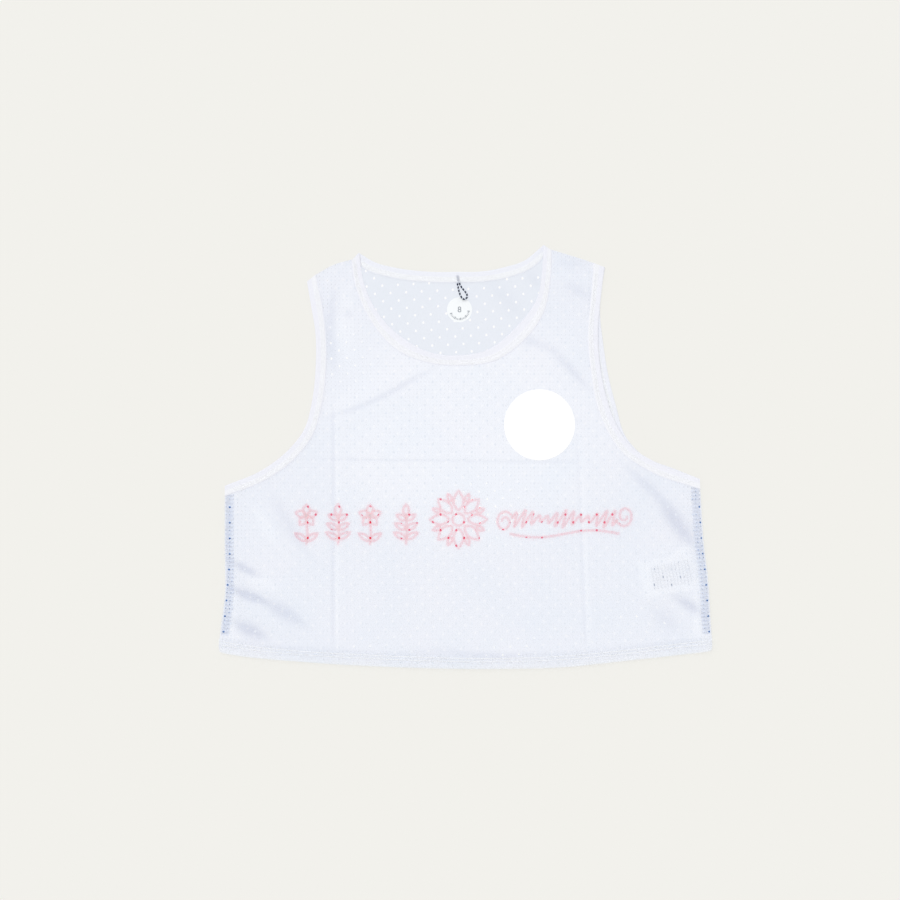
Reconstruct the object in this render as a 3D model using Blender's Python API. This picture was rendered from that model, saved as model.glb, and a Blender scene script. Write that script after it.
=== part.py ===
"""A running singlet, laid flat with its front up: a cropped, boxy vest of thin perforated knit.

The numbers below are in millimetres and are scaled to metres when a mesh is made. +X is the
wearer's left, +Y is towards the neck, and +Z is up from the surface that the vest lies on. The
origin is the middle of its outline, on that surface. Every piece is its own closed solid.
"""
import math

import bmesh
import bpy
from mathutils import Vector, geometry

MM = 0.001  # metres in a millimetre

# Cloth and seams
CLOTH = 1.0          # wall of a panel
GAP = 0.3            # air between one piece and the next
BINDING = 1.2        # thickness of the folded binding, flat
FOLD_ROUND = 0.5     # how far the binding's folded edge rounds away
HEM_DEPTH = 13.0     # the turned-up hem
HEM = 1.8            # thickness of the hem, two layers pressed flat
HEM_STEP = 1.5       # the hem's raw edge, as a slope this wide
HEM_CORNER = 6.0     # how far its round corners reach in
FRONT_LEVEL = BINDING + GAP   # underside of the front where nothing lies between the panels

# Side seams: the allowances are turned in and lie between the panels
ALLOWANCE_START = 1.5   # from the side edge
ALLOWANCE_END = 9.0
ALLOWANCE_CLEAR = 1.0   # below the seam of the armhole binding
ALLOWANCE_FOOT = -178.0 # just above the hem
LIFT_TOP = -26.0        # how far up the sides the front is lifted over the allowances
EASE = 9.0              # how far the front takes to come down beside something under it

# Trims
PATCH_CENTRE, PATCH_RADIUS, PATCH = (74.0, 32.0), 35.5, 0.8
SIZE_LABEL_CENTRE, SIZE_LABEL_RADIUS, SIZE_LABEL = (-6.0, 147.0), 12.5, 0.6
CARE_LABEL_CORNER, CARE_LABEL_TURN = (180.0, -139.6), math.radians(10.5)
CARE_LABEL_LENGTH, CARE_LABEL_WIDTH = 50.5, 33.0
LOOP_DIAMETER = 1.7

# Mesh
EDGE_STEP = 9.0      # between points along an edge
GRID = 22.0          # between points inside a panel

# Sections across each binding, in order along it: where its fold is, and where its seam is.
# Columns: fold x, fold y, seam x, seam y.
NECK_FRONT = (
    (-106.0, 203.0, -113.5, 197.0),
    (-101.5, 174.0, -109.0, 170.0),
    (-89.5, 147.0, -97.0, 141.0),
    (-61.5, 118.0, -67.5, 107.0),
    (-32.0, 103.5, -33.5, 94.0),
    (-5.5, 101.5, -5.5, 92.0),
    (24.0, 108.0, 28.5, 96.5),
    (48.5, 127.5, 56.5, 115.5),
    (70.5, 156.0, 78.0, 146.0),
    (76.0, 181.0, 84.5, 181.0),
    (78.0, 211.0, 85.5, 207.0),
)
NECK_BACK = (
    (-106.5, 204.0, -113.5, 197.0),
    (-91.5, 195.0, -97.5, 187.0),
    (-69.5, 189.0, -71.0, 179.5),
    (-33.5, 185.0, -34.0, 175.5),
    (-9.5, 185.0, -9.5, 175.0),
    (17.5, 185.5, 18.5, 176.0),
    (40.5, 190.0, 43.5, 180.5),
    (57.5, 195.5, 62.5, 187.5),
    (78.0, 211.8, 85.5, 207.0),
)
ARMHOLE_RIGHT = (
    (-158.5, 175.0, -150.5, 181.5),
    (-154.5, 151.5, -144.5, 154.0),
    (-150.0, 123.0, -140.5, 123.0),
    (-149.8, 90.0, -140.0, 90.0),
    (-153.5, 55.0, -144.0, 54.0),
    (-162.0, 26.0, -154.0, 21.0),
    (-176.0, 8.0, -169.0, 1.0),
    (-203.0, -13.0, -198.5, -21.5),
    (-240.5, -29.0, -240.5, -38.5),
)
ARMHOLE_LEFT_FRONT = (
    (139.0, 189.5, 128.5, 193.5),
    (136.0, 165.0, 126.5, 164.5),
    (132.5, 122.0, 123.0, 122.0),
    (135.0, 88.0, 125.5, 89.0),
    (141.5, 57.0, 131.5, 54.0),
    (151.5, 31.0, 142.5, 25.5),
    (165.0, 11.0, 157.5, 4.5),
    (189.5, -5.0, 186.0, -14.5),
    (234.0, -22.0, 234.5, -31.5),
)
ARMHOLE_LEFT_BACK = (
    (139.5, 189.0, 129.0, 193.5),
    (136.5, 170.0, 127.0, 170.0),
    (134.5, 146.0, 125.0, 146.5),
    (137.5, 115.0, 128.0, 116.5),
    (142.5, 83.0, 133.0, 85.0),
    (150.5, 51.0, 141.5, 53.5),
    (161.0, 19.0, 153.0, 14.0),
    (176.0, 2.5, 170.0, -5.0),
    (211.5, -13.0, 208.5, -22.5),
    (234.0, -22.0, 234.5, -31.5),
)

# The panels' other edges. Columns: x, y.
SHOULDER_RIGHT = ((-113.5, 197.0), (-130.0, 192.5), (-150.5, 181.5))
SHOULDER_LEFT = ((128.5, 193.5), (110.0, 199.5), (85.5, 207.0))
SIDE_RIGHT = ((-240.5, -38.5), (-240.5, -90.0), (-240.5, -140.0), (-244.5, -172.0), (-246.5, -190.0))
HEM_EDGE = (
    (-246.5, -190.0), (-245.4, -194.6), (-241.5, -196.2), (-232.5, -197.8), (-159.5, -205.0),
    (-83.5, -209.5), (27.5, -211.8), (100.0, -210.0), (153.0, -204.5), (224.5, -196.5),
    (240.0, -194.7), (245.6, -193.5), (246.5, -190.0),
)
SIDE_LEFT = (
    (246.5, -190.0), (244.5, -160.0), (242.0, -120.0), (238.0, -88.0), (236.0, -58.0), (234.5, -31.5),
)

# The largest soft folds of the front, as ridges. Columns: x and y of one end and of the other,
# width, height.
FOLDS = (
    (-236.0, -112.0, -203.0, -127.0, 15.0, 2.0),
    (-236.0, -146.0, -176.0, -176.0, 15.0, 2.6),
    (174.0, -36.0, 230.0, -112.0, 17.0, 2.4),
    (206.0, -38.0, 233.0, -72.0, 13.0, 1.6),
    (206.0, -128.0, 240.0, -146.0, 13.0, 1.8),
    (-132.0, 30.0, -40.0, 76.0, 13.0, 1.2),
    (62.0, 112.0, 112.0, 78.0, 14.0, 1.4),
)

# The locker loop's route, from one end of it to the other. Columns: x, y, height of its middle.
LOOP = (
    (-8.3, 174.0, 2.2), (-7.6, 170.5, 2.2), (-6.5, 165.5, 2.5), (-4.8, 160.6, 3.1),
    (-1.8, 157.4, 3.2), (1.2, 158.8, 3.2), (1.5, 161.8, 3.0), (-0.6, 165.2, 2.5),
    (-4.0, 169.4, 2.2), (-6.4, 174.0, 2.2),
)


def curve_through(points, step=EDGE_STEP):
    """A smooth line through the points, as a list of vectors about a step apart."""
    knots = [Vector(p) for p in points]
    spans = [(b - a).length for a, b in zip(knots, knots[1:])]
    slopes = [(b - a) / span for a, b, span in zip(knots, knots[1:], spans)]
    tangents = [slopes[0]]
    for before, after, short, long in zip(slopes, slopes[1:], spans, spans[1:]):
        tangents.append((before * long + after * short) / (short + long))
    tangents.append(slopes[-1])
    line = [knots[0]]
    for i, span in enumerate(spans):
        a, b = knots[i], knots[i + 1]
        cuts = max(1, round(span / step))
        for t in (k / cuts for k in range(1, cuts + 1)):
            bend = tangents[i] * (t * (1 - t) ** 2) - tangents[i + 1] * (t * t * (1 - t))
            line.append(a + (b - a) * (t * t * (3 - 2 * t)) + bend * span)
    return line


def sections(rows):
    """The fold line and the seam line of a binding, with as many points each."""
    line = curve_through(rows)
    return [Vector(p[:2]) for p in line], [Vector(p[2:]) for p in line]


def moved(line, distance):
    """The line moved sideways, to the right of its direction."""
    out = []
    for i, point in enumerate(line):
        ahead = line[min(i + 1, len(line) - 1)] - line[max(i - 1, 0)]
        out.append(point + Vector((ahead.y, -ahead.x)).normalized() * distance)
    return out


def across_at(line, y):
    """Where a line that only runs up or down has the height y."""
    points = sorted(line, key=lambda p: p.y)
    for low, high in zip(points, points[1:]):
        if low.y <= y <= high.y:
            return low.x + (high.x - low.x) * (y - low.y) / max(high.y - low.y, 1e-9)
    return points[0].x if y < points[0].y else points[-1].x


def height_at(line, x):
    """Where a line that only runs across has the place x."""
    points = sorted(line, key=lambda p: p.x)
    for low, high in zip(points, points[1:]):
        if low.x <= x <= high.x:
            return low.y + (high.y - low.y) * (x - low.x) / max(high.x - low.x, 1e-9)
    return points[0].y if x < points[0].x else points[-1].y


def eased(value, low, high):
    """0 at low and 1 at high, with a soft start and end."""
    t = min(max((value - low) / (high - low), 0.0), 1.0)
    return t * t * (3 - 2 * t)


def from_side(x, y):
    """Distance in from the nearer side edge."""
    return min(x - across_at(side_right, y), across_at(side_left, y) - x)


def hem_height(x):
    """Height of the hem's edge, carried straight on past its round corners."""
    reach = hem_edge[-1].x - HEM_CORNER
    return height_at(hem_edge, min(max(x, -reach), reach))


def above_hem(x, y):
    return y - hem_height(x)


def off_care_label(x, y):
    """Distance from the care label, 0 over it."""
    offset = Vector((x, y)) - care_corner
    along, across = offset.dot(care_along), offset.dot(care_across)
    past_end = max(-along, along - CARE_LABEL_LENGTH, 0.0)
    past_edge = max(-across, across - CARE_LABEL_WIDTH, 0.0)
    return math.hypot(past_end, past_edge)


def fold_height(x, y):
    """What the soft folds add to the front's height."""
    total = 0.0
    for x0, y0, x1, y1, width, height in FOLDS:
        start, run = Vector((x0, y0)), Vector((x1 - x0, y1 - y0))
        along = (Vector((x, y)) - start).dot(run) / run.length_squared
        nearest = start + run * min(max(along, 0.0), 1.0)
        reach = (Vector((x, y)) - nearest).length / width
        if reach < 1:
            total += height * math.cos(reach * math.pi / 2) ** 2
    return total * eased(from_side(x, y), 0.0, 14.0) * eased(above_hem(x, y), HEM_DEPTH, 30.0)


def hem_share(x, y):
    """1 in the turned-up hem and 0 in the single cloth above it."""
    return 1 - min(max((above_hem(x, y) - HEM_DEPTH) / HEM_STEP, 0.0), 1.0)


def front_under(x, y):
    """Height of the front's underside, over the back, the hem, the allowances and the label."""
    lift = CLOTH + GAP + CLOTH + GAP - FRONT_LEVEL
    inside = from_side(x, y)
    single = 1 - hem_share(x, y)
    beside = min(eased(inside, 0.0, ALLOWANCE_START - GAP),
                 1 - eased(inside, ALLOWANCE_END, ALLOWANCE_END + EASE))
    below_top = 1 - eased(y, LIFT_TOP, LIFT_TOP + EASE)
    over_label = 1 - eased(off_care_label(x, y), 1.0, 1.0 + EASE)
    over_seams = lift * single * max(beside * below_top, over_label * eased(inside, 0.0, ALLOWANCE_START))
    over_hem = (HEM + GAP - FRONT_LEVEL) * hem_share(x, y)
    return FRONT_LEVEL + max(over_seams, over_hem) + fold_height(x, y)


def front_top(x, y):
    return front_under(x, y) + CLOTH + (HEM - CLOTH) * hem_share(x, y)


def back_top(x, y):
    return CLOTH + (HEM - CLOTH) * hem_share(x, y)


def level(height):
    """A height that is the same everywhere."""
    return lambda x, y: height


def raised(surface, rise):
    return lambda x, y: surface(x, y) + rise


def finish(name, points, faces, colour, roughness):
    """A named object with its own material, from points in millimetres."""
    mesh = bpy.data.meshes.new(name)
    mesh.from_pydata([Vector(p) * MM for p in points], [], faces)
    shape = bmesh.new()
    shape.from_mesh(mesh)
    bmesh.ops.recalc_face_normals(shape, faces=shape.faces[:])
    shape.to_mesh(mesh)
    shape.free()
    obj = bpy.data.objects.new(name, mesh)
    bpy.context.scene.collection.objects.link(obj)
    mesh.materials.append(material(name, colour, roughness))
    return obj


def material(name, colour, roughness):
    new = bpy.data.materials.new(name)
    new.use_nodes = True
    shader = new.node_tree.nodes["Principled BSDF"]
    shader.inputs["Base Color"].default_value = (*colour, 1.0)
    shader.inputs["Roughness"].default_value = roughness
    shader.inputs["Metallic"].default_value = 0.0
    return new


def cloth(name, outline, under, top, colour, roughness=0.9, lines=(), loose=()):
    """A flat piece between two surfaces: its outline, lines that its mesh follows, and loose points."""
    points = [Vector(p) for p in outline]
    edges = [(i, (i + 1) % len(points)) for i in range(len(points))]
    for line in lines:
        first = len(points)
        points += line
        edges += [(first + i, first + i + 1) for i in range(len(line) - 1)]
    plan, _, triangles, *_ = geometry.delaunay_2d_cdt(points + list(loose), edges, [], 1, 1e-6)
    triangles = [t for t in triangles if within(sum((plan[i] for i in t), Vector((0, 0))) / 3, outline)]
    total = len(plan)
    solid = [(p.x, p.y, under(p.x, p.y)) for p in plan] + [(p.x, p.y, top(p.x, p.y)) for p in plan]
    faces = [tuple(reversed(t)) for t in triangles] + [tuple(i + total for i in t) for t in triangles]
    sides = {(t[k], t[(k + 1) % 3]) for t in triangles for k in range(3)}
    faces += [(a, b, b + total, a + total) for a, b in sorted(sides) if (b, a) not in sides]
    return finish(name, solid, faces, colour, roughness)


def binding(name, rows, under, colour):
    """A folded strip: the same rounded section at every row of its table."""
    fold, seam = sections(rows)
    points = []
    for edge, stitch in zip(fold, seam):
        inward = (stitch - edge).normalized()
        shoulder = edge + inward * FOLD_ROUND
        for place, share in ((edge, 0.3), (shoulder, 0.0), (stitch, 0.0),
                             (stitch, 1.0), (shoulder, 1.0), (edge, 0.7)):
            points.append((place.x, place.y, under(place.x, place.y) + BINDING * share))
    ring = 6
    faces = [tuple(range(ring)), tuple(reversed(range(len(points) - ring, len(points))))]
    for start in range(0, len(points) - ring, ring):
        for k in range(ring):
            after = (k + 1) % ring
            faces.append((start + k, start + after, start + ring + after, start + ring + k))
    return finish(name, points, faces, colour, 0.85)


def panel_outline(neck, armhole_right, armhole_left):
    """All round a panel, clockwise from the wearer's right of the neck, clear of its bindings."""
    seams = [sections(rows)[1] for rows in (neck, armhole_left, armhole_right)]
    neck_seam = moved(seams[0], GAP)
    left_seam = moved(seams[1], GAP)
    right_seam = list(reversed(moved(seams[2], -GAP)))
    around = neck_seam + list(reversed(shoulder_left))[1:-1] + left_seam
    around += list(reversed(side_left))[1:] + list(reversed(hem_edge))[1:-1]
    around += list(reversed(side_right))[:-1] + right_seam + list(reversed(shoulder_right))[1:-1]
    return around


def within(point, outline, clear=0.0):
    """Whether a point is inside an outline, and at least a clearance from its edge."""
    odd = False
    for a, b in zip(outline, outline[1:] + outline[:1]):
        near, share = geometry.intersect_point_line(point, a, b)
        near = a if share < 0 else b if share > 1 else Vector(near[:2])
        if (near - point).length < clear:
            return False
        if (a.y > point.y) != (b.y > point.y):
            odd ^= point.x < a.x + (b.x - a.x) * (point.y - a.y) / (b.y - a.y)
    return odd


def kept(line, outline, clear):
    """The stretch of a line that is inside an outline."""
    return [p for p in line if within(p, outline, clear)]


def hem_lines(outline):
    """The hem's raw edge: where its double cloth ends, and where the single cloth starts."""
    rises = (HEM_DEPTH, HEM_DEPTH + HEM_STEP)
    return [kept([Vector((p.x, hem_height(p.x) + rise)) for p in hem_edge[1:-1]], outline, GAP)
            for rise in rises]


def beside(edges, offset, clear, foot):
    """A line down beside a side edge, from just under its armhole binding to a height."""
    side, seam, inward = edges
    top = height_at(seam, seam[-1].x + inward * offset) - clear
    count = round((top - foot) / EDGE_STEP)
    heights = [top + (foot - top) * i / count for i in range(count + 1)]
    return [Vector((across_at(side, y) + inward * offset, y)) for y in heights]


def side_lines():
    """Lines beside the side edges, where the front starts and ends its rise over the allowances."""
    offsets = (ALLOWANCE_START - GAP, ALLOWANCE_END, ALLOWANCE_END + EASE / 2, ALLOWANCE_END + EASE)
    return [beside(edges, offset, 2 * GAP, ALLOWANCE_FOOT - 2 * GAP)
            for edges in (right_edges, left_edges) for offset in offsets]


def care_label_ring(margin):
    """Corners of the care label, moved out by a margin, and the points between them."""
    ends = (-margin, CARE_LABEL_LENGTH + margin)
    edges = (-margin, CARE_LABEL_WIDTH + margin)
    corners = [(ends[0], edges[0]), (ends[1], edges[0]), (ends[1], edges[1]), (ends[0], edges[1])]
    ring = []
    for a, b in zip(corners, corners[1:] + corners[:1]):
        cuts = max(1, round(math.dist(a, b) / EDGE_STEP))
        for i in range(cuts):
            along = a[0] + (b[0] - a[0]) * i / cuts
            across = a[1] + (b[1] - a[1]) * i / cuts
            ring.append(care_corner + care_along * along + care_across * across)
    return ring


def fold_points():
    """Points along each fold's crest, its flanks and its feet."""
    points = []
    for x0, y0, x1, y1, width, _ in FOLDS:
        start, run = Vector((x0, y0)), Vector((x1 - x0, y1 - y0))
        side = Vector((-run.y, run.x)).normalized() * width
        steps = round(run.length / EDGE_STEP)
        for i in range(-1, steps + 2):
            points += [start + run * i / steps + side * share for share in (-1.0, -0.5, 0.0, 0.5, 1.0)]
    return points


def grid_points():
    """A plain staggered grid over the whole vest."""
    rows, columns = round(440 / GRID), round(520 / GRID)
    return [Vector(((j - columns / 2 + i % 2 / 2) * GRID, (i - rows / 2) * GRID))
            for i in range(rows + 1) for j in range(columns + 1)]


def disc(centre, radius, count):
    turns = [2 * math.pi * i / count for i in range(count)]
    return [Vector((centre[0] + radius * math.cos(t), centre[1] + radius * math.sin(t))) for t in turns]


def allowance(edges):
    """Outline of a seam allowance, turned in from one side edge."""
    outer = beside(edges, ALLOWANCE_START, ALLOWANCE_CLEAR, ALLOWANCE_FOOT)
    return outer + beside(edges, ALLOWANCE_END, ALLOWANCE_CLEAR, ALLOWANCE_FOOT)[::-1]


WHITE = (0.88, 0.90, 0.96)
BACK_WHITE = (0.84, 0.87, 0.94)
BINDING_WHITE = (0.92, 0.94, 0.97)
THREAD_BLUE = (0.12, 0.28, 0.52)
LABEL_WHITE = (0.93, 0.94, 0.95)
CORD_NAVY = (0.02, 0.03, 0.10)


def build_panels():
    back = panel_outline(NECK_BACK, ARMHOLE_RIGHT, ARMHOLE_LEFT_BACK)
    cloth("back_panel", back, level(0.0), back_top, BACK_WHITE, lines=hem_lines(back))
    front = panel_outline(NECK_FRONT, ARMHOLE_RIGHT, ARMHOLE_LEFT_FRONT)
    rings = [care_label_ring(margin) for margin in (1.0, 1.0 + EASE / 2, 1.0 + EASE)]
    loose = [p for ring in rings for p in kept(ring, front, ALLOWANCE_START)]
    loose += kept(fold_points(), front, ALLOWANCE_START) + kept(grid_points(), front, GRID / 3)
    cloth("front_panel", front, front_under, front_top, WHITE,
          lines=hem_lines(front) + side_lines(), loose=loose)


def build_bindings():
    flat = level(0.0)
    binding("neck_binding_back", NECK_BACK, flat, BINDING_WHITE)
    binding("armhole_binding_back_right", ARMHOLE_RIGHT, flat, BINDING_WHITE)
    binding("armhole_binding_back_left", ARMHOLE_LEFT_BACK, flat, BINDING_WHITE)
    binding("neck_binding_front", NECK_FRONT, front_under, BINDING_WHITE)
    binding("armhole_binding_front_right", ARMHOLE_RIGHT, front_under, BINDING_WHITE)
    binding("armhole_binding_front_left", ARMHOLE_LEFT_FRONT, front_under, BINDING_WHITE)


def build_inside():
    """What lies between the panels and in the neck."""
    under, top = level(CLOTH + GAP), level(CLOTH + GAP + CLOTH)
    cloth("side_seam_right", allowance(right_edges), under, top, THREAD_BLUE)
    cloth("side_seam_left", allowance(left_edges), under, top, THREAD_BLUE)
    cloth("care_label", care_label_ring(0.0), under, top, LABEL_WHITE, 0.6)
    cloth("size_label", disc(SIZE_LABEL_CENTRE, SIZE_LABEL_RADIUS, 40), under,
          level(CLOTH + GAP + SIZE_LABEL), LABEL_WHITE, 0.6)


def build_patch():
    cloth("chest_patch", disc(PATCH_CENTRE, PATCH_RADIUS, 64), raised(front_top, GAP),
          raised(front_top, GAP + PATCH), (0.97, 0.98, 0.98), 0.6)


def build_loop():
    """The locker loop: a round cord with both ends at the back neck binding."""
    route = curve_through(LOOP, LOOP_DIAMETER * 2.2)
    curve = bpy.data.curves.new("neck_loop", "CURVE")
    curve.dimensions = "3D"
    curve.bevel_depth = LOOP_DIAMETER / 2 * MM
    curve.bevel_resolution = 2
    curve.use_fill_caps = True
    spline = curve.splines.new("POLY")
    spline.points.add(len(route) - 1)
    for point, place in zip(spline.points, route):
        point.co = (*(place * MM), 1.0)
    spline.use_smooth = True
    curve.materials.append(material("neck_loop", CORD_NAVY, 0.7))
    loop = bpy.data.objects.new("neck_loop", curve)
    bpy.context.scene.collection.objects.link(loop)


for old in list(bpy.data.objects):
    bpy.data.objects.remove(old, do_unlink=True)

side_right = curve_through(SIDE_RIGHT)
side_left = curve_through(SIDE_LEFT)
# Each side edge, the seam of the armhole binding above it, and which way is in
right_edges = (side_right, sections(ARMHOLE_RIGHT)[1], 1)
left_edges = (side_left, sections(ARMHOLE_LEFT_FRONT)[1], -1)
hem_edge = curve_through(HEM_EDGE)
shoulder_right = curve_through(SHOULDER_RIGHT)
shoulder_left = curve_through(SHOULDER_LEFT)
care_along = Vector((math.cos(CARE_LABEL_TURN), math.sin(CARE_LABEL_TURN)))
care_across = Vector((-care_along.y, care_along.x))
care_corner = Vector(CARE_LABEL_CORNER)

build_panels()
build_bindings()
build_inside()
build_patch()
build_loop()
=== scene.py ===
# %% [markdown]
# # A running singlet, laid flat
# This notebook gives a plain solid model of a cropped running vest its looks. The vest is thin
# white knit with two sizes of eyelet, so most of the work is in cloth that is truly pierced,
# light that comes through it, and the things that show through: a print on the back, the blue
# overlocking in the side seams and a care label. Lengths are in metres, and the tables that
# people would read in millimetres are scaled by MM.

# %% Start from the solid model
import math

import bmesh
import bpy
import numpy as np
from mathutils import Euler, Matrix, Vector
from mathutils.bvhtree import BVHTree


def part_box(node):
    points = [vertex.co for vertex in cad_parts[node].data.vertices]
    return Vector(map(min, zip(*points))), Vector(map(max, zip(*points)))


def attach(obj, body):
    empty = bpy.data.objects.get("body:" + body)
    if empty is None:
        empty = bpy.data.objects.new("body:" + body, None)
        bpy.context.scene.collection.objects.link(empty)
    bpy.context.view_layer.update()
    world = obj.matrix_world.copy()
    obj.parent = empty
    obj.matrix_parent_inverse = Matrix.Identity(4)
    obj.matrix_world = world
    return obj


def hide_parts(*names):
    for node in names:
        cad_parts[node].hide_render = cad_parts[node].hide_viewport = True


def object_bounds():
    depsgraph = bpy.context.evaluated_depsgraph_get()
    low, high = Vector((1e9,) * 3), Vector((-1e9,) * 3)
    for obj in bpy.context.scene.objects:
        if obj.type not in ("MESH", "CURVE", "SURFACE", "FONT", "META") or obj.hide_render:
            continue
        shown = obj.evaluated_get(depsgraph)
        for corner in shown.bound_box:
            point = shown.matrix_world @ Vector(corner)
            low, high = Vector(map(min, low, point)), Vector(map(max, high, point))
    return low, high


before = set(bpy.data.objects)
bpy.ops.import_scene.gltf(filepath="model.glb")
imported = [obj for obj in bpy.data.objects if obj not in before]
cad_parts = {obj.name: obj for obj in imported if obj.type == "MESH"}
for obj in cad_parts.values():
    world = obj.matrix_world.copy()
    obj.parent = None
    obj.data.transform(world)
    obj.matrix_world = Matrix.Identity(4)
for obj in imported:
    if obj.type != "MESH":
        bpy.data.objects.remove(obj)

MM = 0.001
solid_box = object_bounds()
low, high = (Vector(corner) for corner in solid_box)
print("vest:", [round(v / MM, 1) for v in high - low], "mm")

# %% [markdown]
# ## Helpers: colour, nodes and finished pieces
# Screens show sRGB, and Blender's shaders work in linear light, so every colour is written as
# the hex value that one would pick from a swatch and converted by one function. Another small
# function adds a node with its settings and its links, for shaders and Geometry Nodes alike.

# %% Colour and node helpers
def linear(hex_colour):
    """A linear colour from an sRGB hex value such as "f0f3fa"."""
    parts = [int(hex_colour[i:i + 2], 16) / 255 for i in (0, 2, 4)]
    return tuple(c / 12.92 if c <= 0.04045 else ((c + 0.055) / 1.055) ** 2.4 for c in parts) + (1.0,)


def add(tree, kind, inputs=None, **settings):
    """One new node: its settings, then a value or a link for each input given by name or number."""
    node = tree.nodes.new(kind)
    for name, value in settings.items():
        setattr(node, name, value)
    for key, value in (inputs or {}).items():
        if isinstance(value, bpy.types.NodeSocket):
            tree.links.new(value, node.inputs[key])
        else:
            node.inputs[key].default_value = value
    return node


def maths(tree, operation, *values):
    """One step of arithmetic on numbers or links, in shaders and Geometry Nodes alike."""
    return add(tree, "ShaderNodeMath", dict(enumerate(values)), operation=operation).outputs[0]


def bumped(tree, height, strength, depth):
    """A normal that follows a fine relief, of this depth in metres."""
    return add(tree, "ShaderNodeBump", {"Height": height, "Strength": strength, "Distance": depth}).outputs[0]


def noise(tree, place, scale, detail=2.0):
    """Soft random values from 0 to 1, so many to a unit of the place's length."""
    return add(tree, "ShaderNodeTexNoise", {"Vector": place, "Scale": scale, "Detail": detail}).outputs[0]


def mixed_colour(tree, share, first, second, blend_type="MIX"):
    """The first colour at a share of 0, and blended with the second at 1."""
    return add(tree, "ShaderNodeMix", {0: share, 6: first, 7: second}, data_type="RGBA",
               blend_type=blend_type).outputs[2]


def mixed_shader(tree, share, first, second):
    """The first shader at a share of 0, and the second at 1."""
    return add(tree, "ShaderNodeMixShader", {0: share, 1: first.outputs[0], 2: second.outputs[0]})


def new_material(name):
    """An empty material and its tree."""
    material = bpy.data.materials.new(name)
    material.use_nodes = True
    material.node_tree.nodes.clear()
    return material, material.node_tree


def surfaced(material, shader):
    """The material, with this shader as its surface."""
    add(material.node_tree, "ShaderNodeOutputMaterial", {"Surface": shader.outputs[0]})
    return material


def geometry_tree(name, inputs):
    """A Geometry Nodes tree that takes a mesh and these inputs: the tree, its sockets and their outputs."""
    tree = bpy.data.node_groups.new(name, "GeometryNodeTree")
    tree.is_modifier = True
    tree.interface.new_socket("Geometry", in_out="INPUT", socket_type="NodeSocketGeometry")
    sockets = {key: tree.interface.new_socket(key, in_out="INPUT", socket_type="NodeSocket" + kind).identifier
               for key, kind in inputs.items()}
    tree.interface.new_socket("Geometry", in_out="OUTPUT", socket_type="NodeSocketGeometry")
    return tree, sockets, add(tree, "NodeGroupInput").outputs


def hand_out(tree, given, mesh):
    """End a Geometry Nodes tree: its mesh goes out in the given material."""
    coloured = add(tree, "GeometryNodeSetMaterial", {"Geometry": mesh, "Material": given["Material"]}).outputs[0]
    add(tree, "NodeGroupOutput", {"Geometry": coloured})


# %% Helpers for pieces
def in_scene(name, data):
    """A new object of this data, linked to the scene."""
    made = bpy.data.objects.new(name, data)
    bpy.context.scene.collection.objects.link(made)
    return made


def new_piece(name, points, faces, material, smooth_below=None):
    """A mesh object from points in metres, which stays at the origin."""
    mesh = bpy.data.meshes.new(name)
    mesh.from_pydata([tuple(p) for p in points], [], [tuple(f) for f in faces])
    mesh.materials.append(material)
    piece = in_scene(name, mesh)
    if smooth_below is not None:
        mesh.shade_smooth()
        mesh.set_sharp_from_angle(angle=math.radians(smooth_below))
    return piece


def faces_between(rings, around, closed=True):
    """Four-sided faces between rings of points that follow one another, with so many points each."""
    return [(i * around + k, i * around + (k + 1) % around, (i + 1) * around + (k + 1) % around, (i + 1) * around + k)
            for i in range(rings - 1) for k in range(around if closed else around - 1)]


def turned(faces, start=0):
    """The same faces, looking the other way, with their points numbered from a later start."""
    return [(start + a, start + d, start + c, start + b) for a, b, c, d in faces]


def made_plain(piece, name):
    """The evaluated piece as a plain mesh object, in place of the one with live modifiers."""
    graph = bpy.context.evaluated_depsgraph_get()
    mesh = bpy.data.meshes.new_from_object(piece.evaluated_get(graph))
    bpy.data.objects.remove(piece, do_unlink=True)
    mesh.name = name
    return in_scene(name, mesh)


def write_map(piece, name, uvs):
    """Give a piece a UV map, from one pair for each corner of its faces."""
    layer = piece.data.uv_layers.new(name=name)
    layer.data.foreach_set("uv", np.array(uvs, np.float32).ravel())


def declared(piece, slot_name, *nodes):
    """Make a piece ride with the vest and stand for its solids; its slot name is not used."""
    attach(piece, "root")
    if nodes:
        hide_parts(*nodes)
    return piece


def triangles_in(piece):
    """How many triangles a piece has."""
    return sum(len(p.vertices) - 2 for p in piece.data.polygons)


# %% [markdown]
# ## Reading outlines from the solids
# Each sewn piece already has its true outline in the solid model, so no outline is drawn twice.
# A solid's rim is the ring of edges between a face that looks up and one that doesn't. A
# binding's rim has four corners: they split it into its folded edge, its seam and two short ends.

# %% Rims and smooth lines
def rim_of(node):
    """The upper rim of a solid, as points in order, counter-clockwise seen from above."""
    shape = bmesh.new()
    shape.from_mesh(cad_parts[node].data)
    bmesh.ops.remove_doubles(shape, verts=shape.verts, dist=0.004 * MM)
    after = {}
    for face in shape.faces:
        if face.normal.z <= 0.02:
            continue
        for loop in face.loops:
            if all(f.normal.z <= 0.02 for f in loop.edge.link_faces if f is not face):
                after[loop.vert.index] = loop.link_loop_next.vert.index
    start = min(after)
    order = [start]
    while after[order[-1]] != start:
        order.append(after[order[-1]])
    shape.verts.ensure_lookup_table()
    rim = np.array([shape.verts[i].co[:] for i in order])
    shape.free()
    return rim


def turns_at(ring):
    """How sharply a closed line turns at each of its points, in radians."""
    before = ring - np.roll(ring, 1, 0)
    ahead = np.roll(ring, -1, 0) - ring
    cross = before[:, 0] * ahead[:, 1] - before[:, 1] * ahead[:, 0]
    return np.abs(np.arctan2(cross, (before[:, :2] * ahead[:, :2]).sum(1)))


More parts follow.
